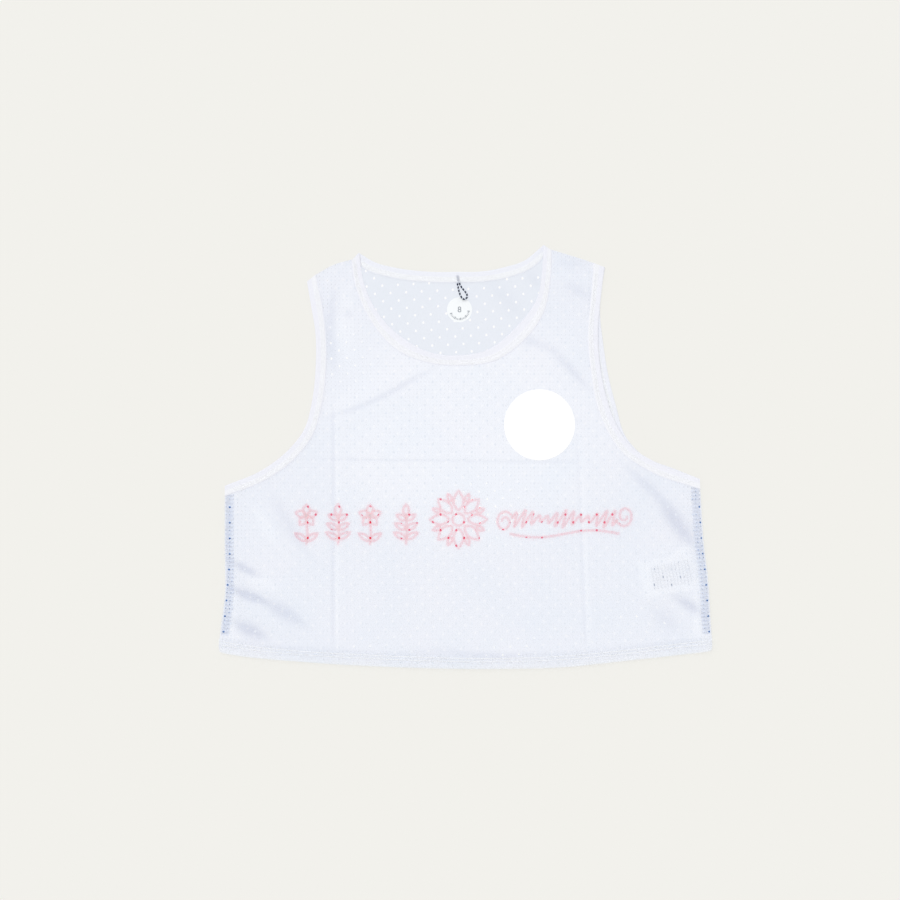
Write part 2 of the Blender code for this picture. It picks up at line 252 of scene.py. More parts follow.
def softened(line, parts):
    """A smooth line through the points of an open line, with so many parts to each stretch."""
    ends = np.vstack([2 * line[0] - line[1], line, 2 * line[-1] - line[-2]])
    out = [line[0]]
    for a, b, c, d in zip(ends, ends[1:], ends[2:], ends[3:]):
        for t in np.arange(1, parts + 1) / parts:
            out.append(0.5 * (2 * b + (c - a) * t + (2 * a - 5 * b + 4 * c - d) * t * t
                              + (3 * b - a - 3 * c + d) * t ** 3))
    return np.array(out)


def stretches(ring, corners):
    """A closed line cut at its corners into open lines."""
    corners = sorted(corners)
    ring = np.roll(ring, -corners[0], 0)
    cuts = [c - corners[0] for c in corners] + [len(ring)]
    ring = np.vstack([ring, ring[:1]])
    return [ring[a:b + 1] for a, b in zip(cuts, cuts[1:])]


def smooth_ring(ring, parts=3, corner=math.radians(24)):
    """A closed line made smooth between its corners."""
    corners = np.nonzero(turns_at(ring) > corner)[0]
    return np.vstack([softened(s, parts)[:-1] for s in stretches(ring, corners)])


def facing_points(line, partner):
    """For each point of a line, the place beside it on the partner line, evened out along it."""
    fine = softened(partner, 12)
    place = np.array([np.hypot(*(fine - point).T).argmin() for point in line], float)
    place[0], place[-1] = 0, len(fine) - 1
    place = np.maximum.accumulate(place)
    for _ in range(8):
        place[1:-1] = (place[:-2] + 2 * place[1:-1] + place[2:]) / 4
    return np.column_stack([np.interp(place, np.arange(len(fine)), fine[:, k]) for k in (0, 1)])


def binding_edges(node, parts=3):
    """A binding's folded edge and its seam, as lines with as many points each."""
    ring = rim_of(node)
    corners = np.argsort(turns_at(ring))[-4:]
    long_sides = sorted(stretches(ring, corners), key=len)[-2:]
    fold, seam = sorted(long_sides, key=lambda side: side[:, 2].mean())
    fold, seam = softened(fold[:, :2], parts), seam[::-1, :2]
    return fold, facing_points(fold, seam)


panel_rims = {name: smooth_ring(rim_of(name)) for name in ("back_panel", "front_panel")}
print({name: len(rim) for name, rim in panel_rims.items()}, "rim points")

# %% [markdown]
# ## How the cloth lies
# The front lies on the back, lifts over the seams and the label, and holds a few soft folds. The
# solids carry that as flat facets. Their height is read on a grid by casting rays down, softened
# like cloth, and read back between the grid's points.

# %% Height of the solids, softened
GRID_STEP = 3 * MM
columns = np.arange(low.x - 6 * MM, high.x + 9 * MM, GRID_STEP)
rows = np.arange(low.y - 6 * MM, high.y + 9 * MM, GRID_STEP)


def neighbours_mean(field):
    """The mean of each cell's known neighbours, for cells that have none of their own."""
    padded = np.pad(field, 1, constant_values=np.nan)
    around = np.stack([padded[1 + i:padded.shape[0] - 1 + i, 1 + j:padded.shape[1] - 1 + j]
                       for i in (-1, 0, 1) for j in (-1, 0, 1)])
    known = ~np.isnan(around)
    count = known.sum(0)
    total = np.where(known, around, 0).sum(0)
    return np.where(count > 0, total / np.maximum(count, 1), np.nan)


def rays_onto(piece):
    """A tree that tells where a ray meets a piece's faces."""
    return BVHTree.FromPolygons([v.co[:] for v in piece.data.vertices],
                                [p.vertices[:] for p in piece.data.polygons])


def soft_height(node, passes):
    """The upper surface of a solid on the grid, carried on past its rim and softened."""
    tree = rays_onto(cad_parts[node])
    field = np.full((len(rows), len(columns)), np.nan)
    for j, y in enumerate(rows):
        for i, x in enumerate(columns):
            hit = tree.ray_cast((x, y, 0.1), (0, 0, -1))[0]
            if hit:
                field[j, i] = hit.z
    while np.isnan(field).any():
        field = np.where(np.isnan(field), neighbours_mean(field), field)
    for _ in range(passes):
        for axis in (0, 1):
            padded = np.pad(field, [(1, 1) if axis == k else (0, 0) for k in (0, 1)], mode="edge")
            ahead, behind = (padded[2:], padded[:-2]) if axis == 0 else (padded[:, 2:], padded[:, :-2])
            field = (ahead + 2 * field + behind) / 4
    return field


def read_grid(field, x, y):
    """Values between the grid's points."""
    i = np.clip((np.asarray(x) - columns[0]) / GRID_STEP, 0, len(columns) - 1.001)
    j = np.clip((np.asarray(y) - rows[0]) / GRID_STEP, 0, len(rows) - 1.001)
    i0, j0 = i.astype(int), j.astype(int)
    u, v = i - i0, j - j0
    u, v = u * u * (3 - 2 * u) * 0.35 + u * 0.65, v * v * (3 - 2 * v) * 0.35 + v * 0.65
    return (field[j0, i0] * (1 - u) * (1 - v) + field[j0, i0 + 1] * u * (1 - v)
            + field[j0 + 1, i0] * (1 - u) * v + field[j0 + 1, i0 + 1] * u * v)


front_height = soft_height("front_panel", 3)
print("front height:", round(front_height.min() / MM, 2), "to", round(front_height.max() / MM, 2), "mm")

# %% [markdown]
# ## Creases
# A garment that was folded in its bag keeps straight packing creases, and its corners hold soft
# troughs where the cloth was pushed together. Each is a row in a table: where it starts and ends,
# how wide it is, how deep, and how soon it fades at its ends.

# %% Crease tables
# Columns, in millimetres: x and y of one end, x and y of the other, width, height, fade.
PACKING_CREASES = (
    # a sharp trough with a low ridge beside it
    (-132.0, 66.0, -132.5, -202.0, 1.8, -0.40, 40.0),
    (-127.5, 66.0, -128.0, -202.0, 2.6, 0.24, 40.0),
    (111.5, 34.0, 120.5, -204.0, 1.6, -0.24, 40.0),
    (115.0, 34.0, 124.5, -204.0, 2.4, 0.24, 40.0),
    (-168.0, -2.0, 136.0, -6.0, 1.7, -0.34, 60.0),
    (-120.0, 2.0, 100.0, -2.0, 3.0, 0.22, 50.0),
)
FRONT_CREASES = (
    # soft troughs at the lower right, from the side edge inwards
    (-240.0, -97.0, -198.0, -124.0, 4.4, -1.10, 26.0),
    (-242.0, -126.0, -196.0, -148.0, 4.4, -1.50, 26.0),
    (-216.0, -136.0, -150.0, -178.0, 6.4, -0.90, 44.0),
    (-240.0, -158.0, -190.0, -186.0, 6.0, -1.20, 30.0),
    (-204.0, -28.0, -146.0, -114.0, 6.0, -0.42, 50.0),
    (-218.0, -40.0, -180.0, -98.0, 5.0, 0.30, 30.0),
    (-226.0, -112.0, -182.0, -138.0, 6.0, 0.45, 30.0),
    # the long trough from the left underarm to the side
    (154.0, -2.0, 204.0, -52.0, 5.6, -0.60, 40.0),
    (184.0, -32.0, 240.0, -104.0, 7.2, -1.15, 44.0),
    (200.0, -136.0, 244.0, -166.0, 4.8, -1.05, 30.0),
    (176.0, -144.0, 222.0, -182.0, 9.0, -0.45, 36.0),
    (198.0, -108.0, 240.0, -86.0, 4.0, 0.40, 28.0),
    # across the right chest
    (-150.0, 33.0, -20.0, 91.0, 3.6, -0.62, 62.0),
    (-146.0, 42.0, -50.0, 88.0, 8.0, 0.30, 60.0),
    # over the left chest, in two runs that bend towards the armhole
    (34.0, 130.0, 100.0, 100.0, 5.2, -0.55, 44.0),
    (78.0, 116.0, 128.0, 58.0, 4.6, -0.62, 40.0),
    (60.0, 48.0, 134.0, 28.0, 5.0, -0.22, 44.0),
    # shoulders
    (-134.0, 184.0, -132.0, 70.0, 4.8, -0.46, 50.0),
    (-124.0, 152.0, -110.0, 136.0, 4.5, -0.50, 12.0),
    (-120.0, 184.0, -117.0, 86.0, 8.0, 0.34, 50.0),
    (90.0, 172.0, 132.0, 156.0, 6.5, -0.45, 26.0),
    (84.0, 193.0, 126.0, 189.0, 6.0, -0.32, 22.0),
    # the dip just above the hem
    (-80.0, -195.5, 96.0, -196.5, 3.0, -0.34, 80.0),
)
SWELLS = (
    # the belly's and the chest's very soft rise and fall
    (-100.0, -140.0, 96.0, -150.0, 42.0, -0.55, 60.0),
    (-70.0, 34.0, 40.0, 20.0, 40.0, 0.35, 50.0),
    (-190.0, -60.0, -176.0, -150.0, 22.0, 0.40, 60.0),
    (150.0, -60.0, 176.0, -170.0, 24.0, 0.40, 60.0),
)
BACK_CREASES = (
    (54.0, 190.0, 78.0, 164.0, 6.0, -0.24, 18.0),
    (14.0, 184.0, 66.0, 134.0, 8.0, -0.22, 34.0),
    (-88.0, 176.0, -56.0, 122.0, 7.0, 0.18, 30.0),
)

# %% Height of the creases and of each cloth
def eased(share):
    """0 to 1, level at both ends."""
    share = np.clip(share, 0, 1)
    return share * share * (3 - 2 * share)


def nothing(x, y):
    """What is nowhere anything."""
    return np.zeros_like(np.asarray(x, float))


def crease_height(table, x, y, wander=0.0):
    """What the creases add, in metres, at arrays of places in metres. Wander bends their lines."""
    x, y = np.asarray(x) / MM, np.asarray(y) / MM
    x, y = x + wander * np.sin(y / 17.0 + 0.6), y + wander * np.sin(x / 21.0)
    total = np.zeros_like(x)
    for x0, y0, x1, y1, width, height, fade in table:
        run = np.array((x1 - x0, y1 - y0))
        length = np.hypot(*run)
        along = ((x - x0) * run[0] + (y - y0) * run[1]) / length
        across = ((y - y0) * run[0] - (x - x0) * run[1]) / length
        ends = eased(np.minimum(along, length - along) / fade + 0.1)
        total += height * np.exp(-(across / (width * (0.55 + 0.45 * ends))) ** 2) * ends
    return total * MM


WANDER = 2.2     # millimetres that soft creases stray from a straight line


def front_creases(x, y):
    """The front's folds and its marks from packing."""
    return crease_height(FRONT_CREASES, x, y, WANDER) + crease_height(PACKING_CREASES, x, y)


def back_creases(x, y):
    """The back's few folds, in the neck."""
    return crease_height(BACK_CREASES, x, y, WANDER)


def front_surface(x, y):
    """Height of the front cloth's upper face."""
    return (read_grid(front_height, x, y) - 0.3 * MM + front_creases(x, y)
            + crease_height(SWELLS, x, y, WANDER))


CLOTH = 0.45 * MM     # the knit's thickness
FEET = 0.05 * MM      # the back cloth starts this far above the surface, and its print on it


def back_surface(x, y):
    """Height of the back cloth's inner face, which looks up."""
    return FEET + CLOTH + 0.25 * MM + back_creases(x, y)


# %% [markdown]
# ## Perforated cloth with Geometry Nodes
# The knit has oval eyelets about 2.3 by 2.7 mm on a staggered lattice, 15.6 mm apart. They're
# real holes: light and the layer behind come through them. Geometry Nodes lays two grids of
# points, keeps those inside the panel and clear of its rim, puts an oval on each, and lets Fill
# Curve make one flat mesh of the outline with all its ovals left open. Only the long edges of that
# mesh are then cut, so it can bend in creases and its many short edges round the ovals stay whole.
# The small eyelets between them are too many for mesh, so they're in the material.

# %% The perforation tree
def perforated_cloth():
    """Oval holes on two square grids, cut in the flat sheet inside a ring of edges."""
    tree, sockets, given = geometry_tree("perforated cloth", {
        "Pitch": "Float", "Eyelet width": "Float", "Eyelet height": "Float", "Margin": "Float",
        "Turn": "Float", "Shift": "Vector", "Material": "Material"})
    rim = add(tree, "GeometryNodeMeshToCurve", {"Mesh": given["Geometry"]}).outputs["Curve"]
    whole = add(tree, "GeometryNodeFillCurve", {"Curve": rim}).outputs["Mesh"]
    # two square grids, half a pitch apart each way
    spread = 0.7
    count = maths(tree, "DIVIDE", spread, given["Pitch"])
    whole_count = maths(tree, "FLOOR", count)
    size = maths(tree, "MULTIPLY", whole_count, given["Pitch"])
    corners = maths(tree, "ADD", whole_count, 1.0)
    grid = add(tree, "GeometryNodeMeshGrid", {"Size X": size, "Size Y": size, "Vertices X": corners,
                                              "Vertices Y": corners}).outputs["Mesh"]
    half = maths(tree, "DIVIDE", given["Pitch"], 2.0)
    half_step = add(tree, "ShaderNodeCombineXYZ", {"X": half, "Y": half}).outputs[0]
    between = add(tree, "GeometryNodeTransform", {"Geometry": grid, "Translation": half_step}).outputs[0]
    lattice = add(tree, "GeometryNodeJoinGeometry", {0: grid})
    tree.links.new(between, lattice.inputs[0])
    turn = add(tree, "ShaderNodeCombineXYZ", {"Z": given["Turn"]}).outputs[0]
    placed = add(tree, "GeometryNodeTransform", {"Geometry": lattice.outputs[0], "Translation": given["Shift"],
                                                 "Rotation": turn}).outputs[0]
    # keep the points that lie over the panel and clear of its rim
    place = add(tree, "GeometryNodeInputPosition").outputs[0]
    above = add(tree, "ShaderNodeVectorMath", {0: place, 1: (0, 0, 0.01)}, operation="ADD").outputs[0]
    ray = add(tree, "GeometryNodeRaycast", {"Target Geometry": whole, "Source Position": above,
                                            "Ray Direction": (0, 0, -1), "Ray Length": 0.1})
    near = add(tree, "GeometryNodeProximity", {"Geometry": given["Geometry"]}, target_element="EDGES")
    clear = add(tree, "FunctionNodeCompare", {0: near.outputs["Distance"], 1: given["Margin"]},
                data_type="FLOAT", operation="GREATER_THAN").outputs[0]
    good = add(tree, "FunctionNodeBooleanMath", {0: ray.outputs["Is Hit"], 1: clear}, operation="AND").outputs[0]
    bad = add(tree, "FunctionNodeBooleanMath", {0: good}, operation="NOT").outputs[0]
    kept = add(tree, "GeometryNodeDeleteGeometry", {"Geometry": placed, "Selection": bad}).outputs[0]
    # an oval on each point
    oval = add(tree, "GeometryNodeMeshCircle", {"Vertices": 8, "Radius": 0.5}).outputs[0]
    oval_size = add(tree, "ShaderNodeCombineXYZ", {"X": given["Eyelet width"], "Y": given["Eyelet height"],
                                                   "Z": 1.0}).outputs[0]
    ovals = add(tree, "GeometryNodeInstanceOnPoints", {"Points": kept, "Instance": oval,
                                                       "Scale": oval_size}).outputs[0]
    real = add(tree, "GeometryNodeRealizeInstances", {"Geometry": ovals}).outputs[0]
    rings = add(tree, "GeometryNodeMeshToCurve", {"Mesh": real}).outputs["Curve"]
    lines = add(tree, "GeometryNodeJoinGeometry", {0: rim})
    tree.links.new(rings, lines.inputs[0])
    sheet = add(tree, "GeometryNodeFillCurve", {"Curve": lines.outputs[0]}).outputs["Mesh"]
    hand_out(tree, given, sheet)
    return tree, sockets


perforation, perforation_sockets = perforated_cloth()


def run_nodes(piece, tree, sockets, name, **values):
    """Give a piece the tree, set its inputs, and return the result as a plain mesh object."""
    modifier = piece.modifiers.new(tree.name, "NODES")
    modifier.node_group = tree
    for key, value in values.items():
        modifier[sockets[key.replace("_", " ")]] = value
    return made_plain(piece, name)


LONGEST_EDGE = 2.4 * MM    # in a sheet that's to be bent


def cut_finer(sheet):
    """Halve a flat sheet's long edges until none is too long, so that it bends smoothly."""
    shape = bmesh.new()
    shape.from_mesh(sheet.data)
    long_edges = [edge for edge in shape.edges if edge.calc_length() > LONGEST_EDGE]
    while long_edges:
        bmesh.ops.subdivide_edges(shape, edges=long_edges, cuts=1)
        bmesh.ops.triangulate(shape, faces=[face for face in shape.faces if len(face.verts) > 3])
        long_edges = [edge for edge in shape.edges if edge.calc_length() > LONGEST_EDGE]
    shape.to_mesh(sheet.data)
    shape.free()


# %% [markdown]
# ## The knit
# The cloth is a light polyester mesh, knitted white: matt, a little blue, and thin enough that
# what lies behind shows. Its small eyelets are ovals of about 1.1 by 1.7 mm on a square grid of
# 3.9 mm, and its stitches are fine ribs about 1.3 mm apart. The shader is a mix of three: a matt surface
# that sends light back, a translucent one that lets soft light through, and a transparent one
# for the gaps, strongest in the eyelets.

# %% Knit material
EYELET, EYELET_MARGIN = (2.3 * MM, 2.7 * MM), 1.5 * MM      # width and height, and how far from the rim
FINE_PITCH = 3.9 * MM
FINE_EYELET, FINE_OVAL = 1.25 * MM, (1.1, 0.75, 0)      # across, and how much it's squeezed each way
STITCH_PITCH = 1.3 * MM
# painted shade: the grey-blue that the knit is tinted towards in creases and other shaded places
PAINTED_SHADE_TINT = "e3e5ed"
# Each lattice of eyelets: how far it's turned, in degrees, and the place of one large eyelet.
FRONT_LATTICE = (0.0, (-1.5 * MM, -3.1 * MM))
BACK_LATTICE = (3.0, (-4.5 * MM, 11.2 * MM))


def knit(name, colour, open_body, open_eyelet, through, lattice=FRONT_LATTICE):
    """Pierced warp knit, white polyester: dull, with a soft sheen and light coming through.

    The two colours are the yarn's lightest and darkest white. Open_body is how much shows between
    the stitches, open_eyelet how much in a small eyelet where the cloth is tight and where it's
    loose, and through is the share of light that the yarn lets past.
    """
    material, tree = new_material(name)
    loose = add(tree, "ShaderNodeAttribute", attribute_name="loose").outputs["Fac"]
    # painted shade, given on each point of the panels
    painted_shade = add(tree, "ShaderNodeAttribute", attribute_name="painted_shade").outputs["Fac"]
    # the small eyelets' grid is in line with the large ones, each fourth of which is a large one
    place = add(tree, "ShaderNodeUVMap", uv_map="cloth").outputs[0]
    turn = -math.radians(lattice[0])
    shift = Vector((*lattice[1], 0)) / FINE_PITCH
    shift.rotate(Euler((0, 0, turn)))
    cells = add(tree, "ShaderNodeMapping", {"Vector": place, "Rotation": (0, 0, turn),
                                            "Location": (0.5 - shift.x, 0.5 - shift.y, 0),
                                            "Scale": (1 / FINE_PITCH, 1 / FINE_PITCH, 0)}).outputs[0]
    part = add(tree, "ShaderNodeVectorMath", {0: cells}, operation="FRACTION").outputs[0]
    cell = add(tree, "ShaderNodeVectorMath", {0: cells}, operation="FLOOR").outputs[0]
    chance = add(tree, "ShaderNodeTexWhiteNoise", {"Vector": cell}, noise_dimensions="3D").outputs["Value"]
    centred = add(tree, "ShaderNodeVectorMath", {0: part, 1: (0.5, 0.5, 0)}, operation="SUBTRACT").outputs[0]
    oval = add(tree, "ShaderNodeVectorMath", {0: centred, 1: FINE_OVAL}, operation="MULTIPLY").outputs[0]
    from_middle = add(tree, "ShaderNodeVectorMath", {0: oval}, operation="LENGTH").outputs["Value"]
    radius = FINE_EYELET / FINE_PITCH / 2
    hole = add(tree, "ShaderNodeMapRange", {"Value": from_middle, "From Min": radius * 1.25,
                                            "From Max": radius * 0.75}).outputs[0]
    uneven = maths(tree, "POWER", chance, 2.0)
    depth = add(tree, "ShaderNodeMapRange", {"Value": uneven, "To Min": 0.3, "To Max": 1.25}).outputs[0]
    eyelet = maths(tree, "MULTIPLY", hole, depth)
    # soft ribs of stitches, which the eyelets interrupt
    stitches = add(tree, "ShaderNodeMapping", {"Vector": place, "Rotation": (0, 0, turn),
                                               "Scale": (2 * math.pi / STITCH_PITCH,) * 2 + (0,)}).outputs[0]
    axes = add(tree, "ShaderNodeSeparateXYZ", {0: stitches})
    wales = maths(tree, "SINE", axes.outputs["X"])
    courses = maths(tree, "SINE", axes.outputs["Y"])
    loops = maths(tree, "MULTIPLY", wales, courses)
    pits = maths(tree, "MULTIPLY_ADD", eyelet, -3.0, loops)
    relief = bumped(tree, pits, 0.25, 0.12 * MM)
    # yarn varies a little in whiteness, and painted shade makes it greyer and bluer in the creases, in lines along
    # the hem and faintly over most of the front
    cloud = noise(tree, place, 16.0, 3.0)
    white = mixed_colour(tree, cloud, linear(colour[0]), linear(colour[1]))
    yarn = mixed_colour(tree, painted_shade, white, linear(PAINTED_SHADE_TINT), "MULTIPLY")
    cloth = add(tree, "ShaderNodeBsdfPrincipled", {"Base Color": yarn, "Roughness": 0.82, "Normal": relief,
                                                   "Sheen Weight": 0.12, "Sheen Roughness": 0.5})
    glow = add(tree, "ShaderNodeBsdfTranslucent", {"Color": yarn, "Normal": relief})
    body = mixed_shader(tree, through, cloth, glow)
    # where the layers lie apart, in patches, the small eyelets look deeper
    patch = noise(tree, place, 38.0, 1.0)
    patchy = add(tree, "ShaderNodeMapRange", {"Value": patch, "From Min": 0.36, "From Max": 0.62,
                                              "To Min": 0.25, "To Max": 1.0}).outputs[0]
    loose = maths(tree, "MULTIPLY", loose, patchy)
    widest = add(tree, "ShaderNodeMapRange", {"Value": loose, "To Min": open_eyelet[0],
                                              "To Max": open_eyelet[1]}).outputs[0]
    gaps = add(tree, "ShaderNodeMapRange", {"Value": eyelet, "To Min": open_body, "To Max": widest}).outputs[0]
    clear = add(tree, "ShaderNodeBsdfTransparent")
    mixed = mixed_shader(tree, gaps, body, clear)
    return surfaced(material, mixed)


FRONT_KNIT = knit("white mesh knit, front", ("fdfcff", "f4f8fe"), 0.14, (0.30, 0.66), 0.30)
BACK_KNIT = knit("white mesh knit, back", ("ebeef6", "e5ebf4"), 0.08, (0.08, 0.08), 0.80, BACK_LATTICE)

# %% [markdown]
# ## The two panels
# Each panel's rim goes into the tree as a ring of edges, and the flat pierced sheet that comes
# out is laid on its surface point by point. The knit is under half a millimetre thick, so a panel
# is one sheet of faces: a shell with two walls would scatter the light twice and look grey. Its
# thickness shows only at its edges, where the hem, the bindings and the seams close it.

# %% Where the layers lie apart
# Columns, in millimetres: x, y, reach across, reach up, and how deep the small eyelets look.
LOOSE_PLACES = (
    (-136.0, 165.0, 14.0, 46.0, 0.75),
    (-118.0, 120.0, 16.0, 70.0, 0.40),
    (118.0, 178.0, 22.0, 26.0, 0.55),
    (104.0, 128.0, 24.0, 40.0, 0.30),
    (-212.0, -110.0, 26.0, 60.0, 0.40),
    (-128.0, -90.0, 22.0, 110.0, 0.30),
    (208.0, -120.0, 30.0, 60.0, 0.75),
    (234.0, -80.0, 14.0, 70.0, 1.60),
    (-236.0, -110.0, 12.0, 90.0, 1.60),
    (-30.0, 66.0, 120.0, 34.0, 0.30),
    (-10.0, -150.0, 200.0, 34.0, 0.25),
)


def looseness(points):
    """How far the layers lie apart, from 0 to 2, from the table of loose places."""
    x, y = points[:, 0] / MM, points[:, 1] / MM
    total = np.zeros(len(points))
    for cx, cy, reach_x, reach_y, amount in LOOSE_PLACES:
        total += amount * np.exp(-((x - cx) / reach_x) ** 2 - ((y - cy) / reach_y) ** 2)
    return np.clip(total, 0, 2)


# The care label's lower free corner, in millimetres, its turn in degrees, its length and depth
CARE_CORNER, CARE_TURN = (180.0, -139.6), 10.5
CARE_LENGTH, CARE_DEPTH = 50.5, 33.0
HEM_DEPTH = 13 * MM
front_rim = panel_rims["front_panel"]
hem_points = front_rim[(np.abs(front_rim[:, 0]) < 0.21) & (front_rim[:, 1] < -0.15)]
hem_curve = np.polynomial.Polynomial.fit(hem_points[:, 0], hem_points[:, 1], 5)


def past_label(x, y):
    """Distance from the care label in millimetres, 0 over it."""
    turn = math.radians(CARE_TURN)
    from_x, from_y = x / MM - CARE_CORNER[0], y / MM - CARE_CORNER[1]
    along = from_x * math.cos(turn) + from_y * math.sin(turn)
    up = from_y * math.cos(turn) - from_x * math.sin(turn)
    return np.hypot(np.maximum(0, np.maximum(-along, along - CARE_LENGTH)),
                    np.maximum(0, np.maximum(-up, up - CARE_DEPTH)))


def front_shade_mask(x, y):
    """Where the front gets a faint painted shade, from 0 to 1: none on the chest, at the hem, by the side strips or
    over the label.
    """
    off_chest = eased((np.hypot(x / 0.150, (y - 0.030) / 0.115) - 0.55) / 0.75)
    above_stitches = eased((y - hem_curve(x) - 4 * MM) / (12 * MM))
    off_strips = 1 - eased((np.abs(x) - 225 * MM) / (8 * MM))
    return off_chest * above_stitches * off_strips * eased(past_label(x, y) / 3)


def painted_shade_amount(creases, shade_mask, points):
    """How much painted shade each point gets, from 0 to 1: in creases, in two lines along the hem and faintly where
    the mask is set.
    """
    above_hem = points[:, 1] - hem_curve(points[:, 0])
    # painted shade in two lines along the hem: a faint one just below the stitch rows, a stronger one at the
    # turn-up's top
    stitch_shade = 0.05 * np.exp(-((above_hem - 6.2 * MM) / (2.6 * MM)) ** 2)
    stitch_shade += 0.14 * np.exp(-((above_hem - 13.5 * MM) / (2.2 * MM)) ** 2)
    # and a faint painted shade over most of the front, from its mask
    dull = 0.18 * shade_mask(points[:, 0], points[:, 1])
    return np.clip(-creases(points[:, 0], points[:, 1]) / (1.35 * MM) + stitch_shade + dull, 0, 1)


# %% Panels
# How far the front's grain is pushed outwards at its left edge. Columns, in millimetres: y, push.
LEFT_PUSH = np.array(((-190.0, 10.8), (-160.0, 9.3), (-120.0, 7.2), (-88.0, 3.7), (-49.0, 1.25)))


def front_drift(x, y):
    """How far the front's grain is pushed sideways where it lies: its sides fan out to the hem."""
    right = -0.09 * np.maximum(0, -105 * MM - y) * eased((-150 * MM - x) / (70 * MM))
    left = np.interp(y / MM, *LEFT_PUSH.T) * MM * np.clip((x - 160 * MM) / (75 * MM), 0, 1.12)
    return right + left


def back_drift(x, y):
    """How far the back's grain is pushed sideways: it's stretched along the hem by its stitches."""
    return 2 * FINE_PITCH * (x + 98 * MM) / (150 * MM) * eased((-150 * MM - y) / (35 * MM))


def pierced_panel(node, name, material, surface, creases, drift, shade_mask, lattice):
    """A panel, pierced as a flat cut with its grain straight, then laid out and raised."""
    ring = panel_rims[node]
    mesh = bpy.data.meshes.new(name)
    count = len(ring)
    mesh.from_pydata([(x, y, 0) for x, y in zip(ring[:, 0] - drift(ring[:, 0], ring[:, 1]), ring[:, 1])],
                     [(i, (i + 1) % count) for i in range(count)], [])
    panel = run_nodes(in_scene(name + " outline", mesh), perforation, perforation_sockets, name,
                      Pitch=4 * FINE_PITCH, Eyelet_width=EYELET[0], Eyelet_height=EYELET[1],
                      Margin=EYELET_MARGIN, Turn=math.radians(lattice[0]), Shift=(*lattice[1], 0.0),
                      Material=material)
    cut_finer(panel)
    points = np.empty(len(panel.data.vertices) * 3)
    panel.data.vertices.foreach_get("co", points)
    points = points.reshape(-1, 3)
    corner_points = np.empty(len(panel.data.loops), np.int32)
    panel.data.loops.foreach_get("vertex_index", corner_points)
    write_map(panel, "cloth", points[corner_points, :2])
    cut_x = points[:, 0].copy()
    for _ in range(8):
        points[:, 0] = cut_x + drift(points[:, 0], points[:, 1])
    points[:, 2] = surface(points[:, 0], points[:, 1])
    # each point gets its painted shade and how loose the layers lie there
    for field, values in (("painted_shade", painted_shade_amount(creases, shade_mask, points)), ("loose", looseness(points))):
        panel.data.attributes.new(field, "FLOAT", "POINT").data.foreach_set("value", values)
    panel.data.vertices.foreach_set("co", points.ravel())
    if panel.data.polygons[0].normal.z < 0:
        panel.data.flip_normals()
    panel.data.shade_smooth()
    print(name, triangles_in(panel), "triangles")
    return panel


front = pierced_panel("front_panel", "front_cloth", FRONT_KNIT, front_surface, front_creases, front_drift,
                      front_shade_mask, FRONT_LATTICE)
back = pierced_panel("back_panel", "back_cloth", BACK_KNIT, back_surface, back_creases, back_drift, nothing,
                     BACK_LATTICE)

declared(front, "perforated knit", "front_panel")
declared(back, "perforated knit", "back_panel")

# %% [markdown]
# ## Swept strips
# Bindings, hems, seam allowances and edge rolls are all one shape: a small section carried along
# an edge. One function sweeps it between two lines, with a table for the section: how far across
# it each point is, and how far up. It also writes a UV map in millimetres, so that ribs and
# stitches follow the strip round its curves.

# %% Sweeping a section between two lines
def run_lengths(line):
    """Distance along a line at each of its points."""
    return np.concatenate([[0], np.cumsum(np.hypot(*np.diff(line[:, :2], axis=0).T))])


STRIP_WIDTH = 9.5      # usual, in millimetres: the map of a section is worked out for it


def swept(name, start_line, end_line, section, base, material, closed=True):
    """A strip from one line to the other. Section rows: share of the way across, further mm, mm up."""
    across = end_line - start_line
    width = np.hypot(*across.T)[:, None]
    unit = across / width
    rings = [start_line + across * share + unit * further * MM for share, further, _ in section]
    heights = [base(r[:, 0], r[:, 1]) + up * MM for r, (_, _, up) in zip(rings, section)]
    points = np.stack([np.column_stack([r, h]) for r, h in zip(rings, heights)], 1)
    count, ring = points.shape[:2]
    faces, uvs = faces_between(count, ring, closed), []
    along = run_lengths((start_line + end_line) / 2) / MM
    trail = np.concatenate([[0], np.cumsum([math.hypot((b[0] - a[0]) * STRIP_WIDTH + b[1] - a[1], b[2] - a[2])
                                            for a, b in zip(section, section[1:] + section[:1])])])
    for i in range(count - 1):
        for k in range(ring if closed else ring - 1):
            uvs += [(along[i], trail[k]), (along[i], trail[k + 1]),
                    (along[i + 1], trail[k + 1]), (along[i + 1], trail[k])]
    if closed:
        for cap in (range(ring), reversed(range((count - 1) * ring, count * ring))):
            cap = list(cap)
            faces.append(cap)
            uvs += [(along[0], 0.0)] * len(cap)
    piece = new_piece(name, points.reshape(-1, 3), faces, material, smooth_below=70)
    write_map(piece, "strip", uvs)
    return faced_out(piece)


def faced_out(piece):
    """Turn a piece's faces outwards, and give it a map of its cloth seen from above."""
    shape = bmesh.new()
    shape.from_mesh(piece.data)
    bmesh.ops.recalc_face_normals(shape, faces=shape.faces[:])
    grain = shape.loops.layers.uv.new("cloth")
    for face in shape.faces:
        for loop in face.loops:
            loop[grain].uv = loop.vert.co.xy
    shape.to_mesh(piece.data)
    shape.free()
    return piece
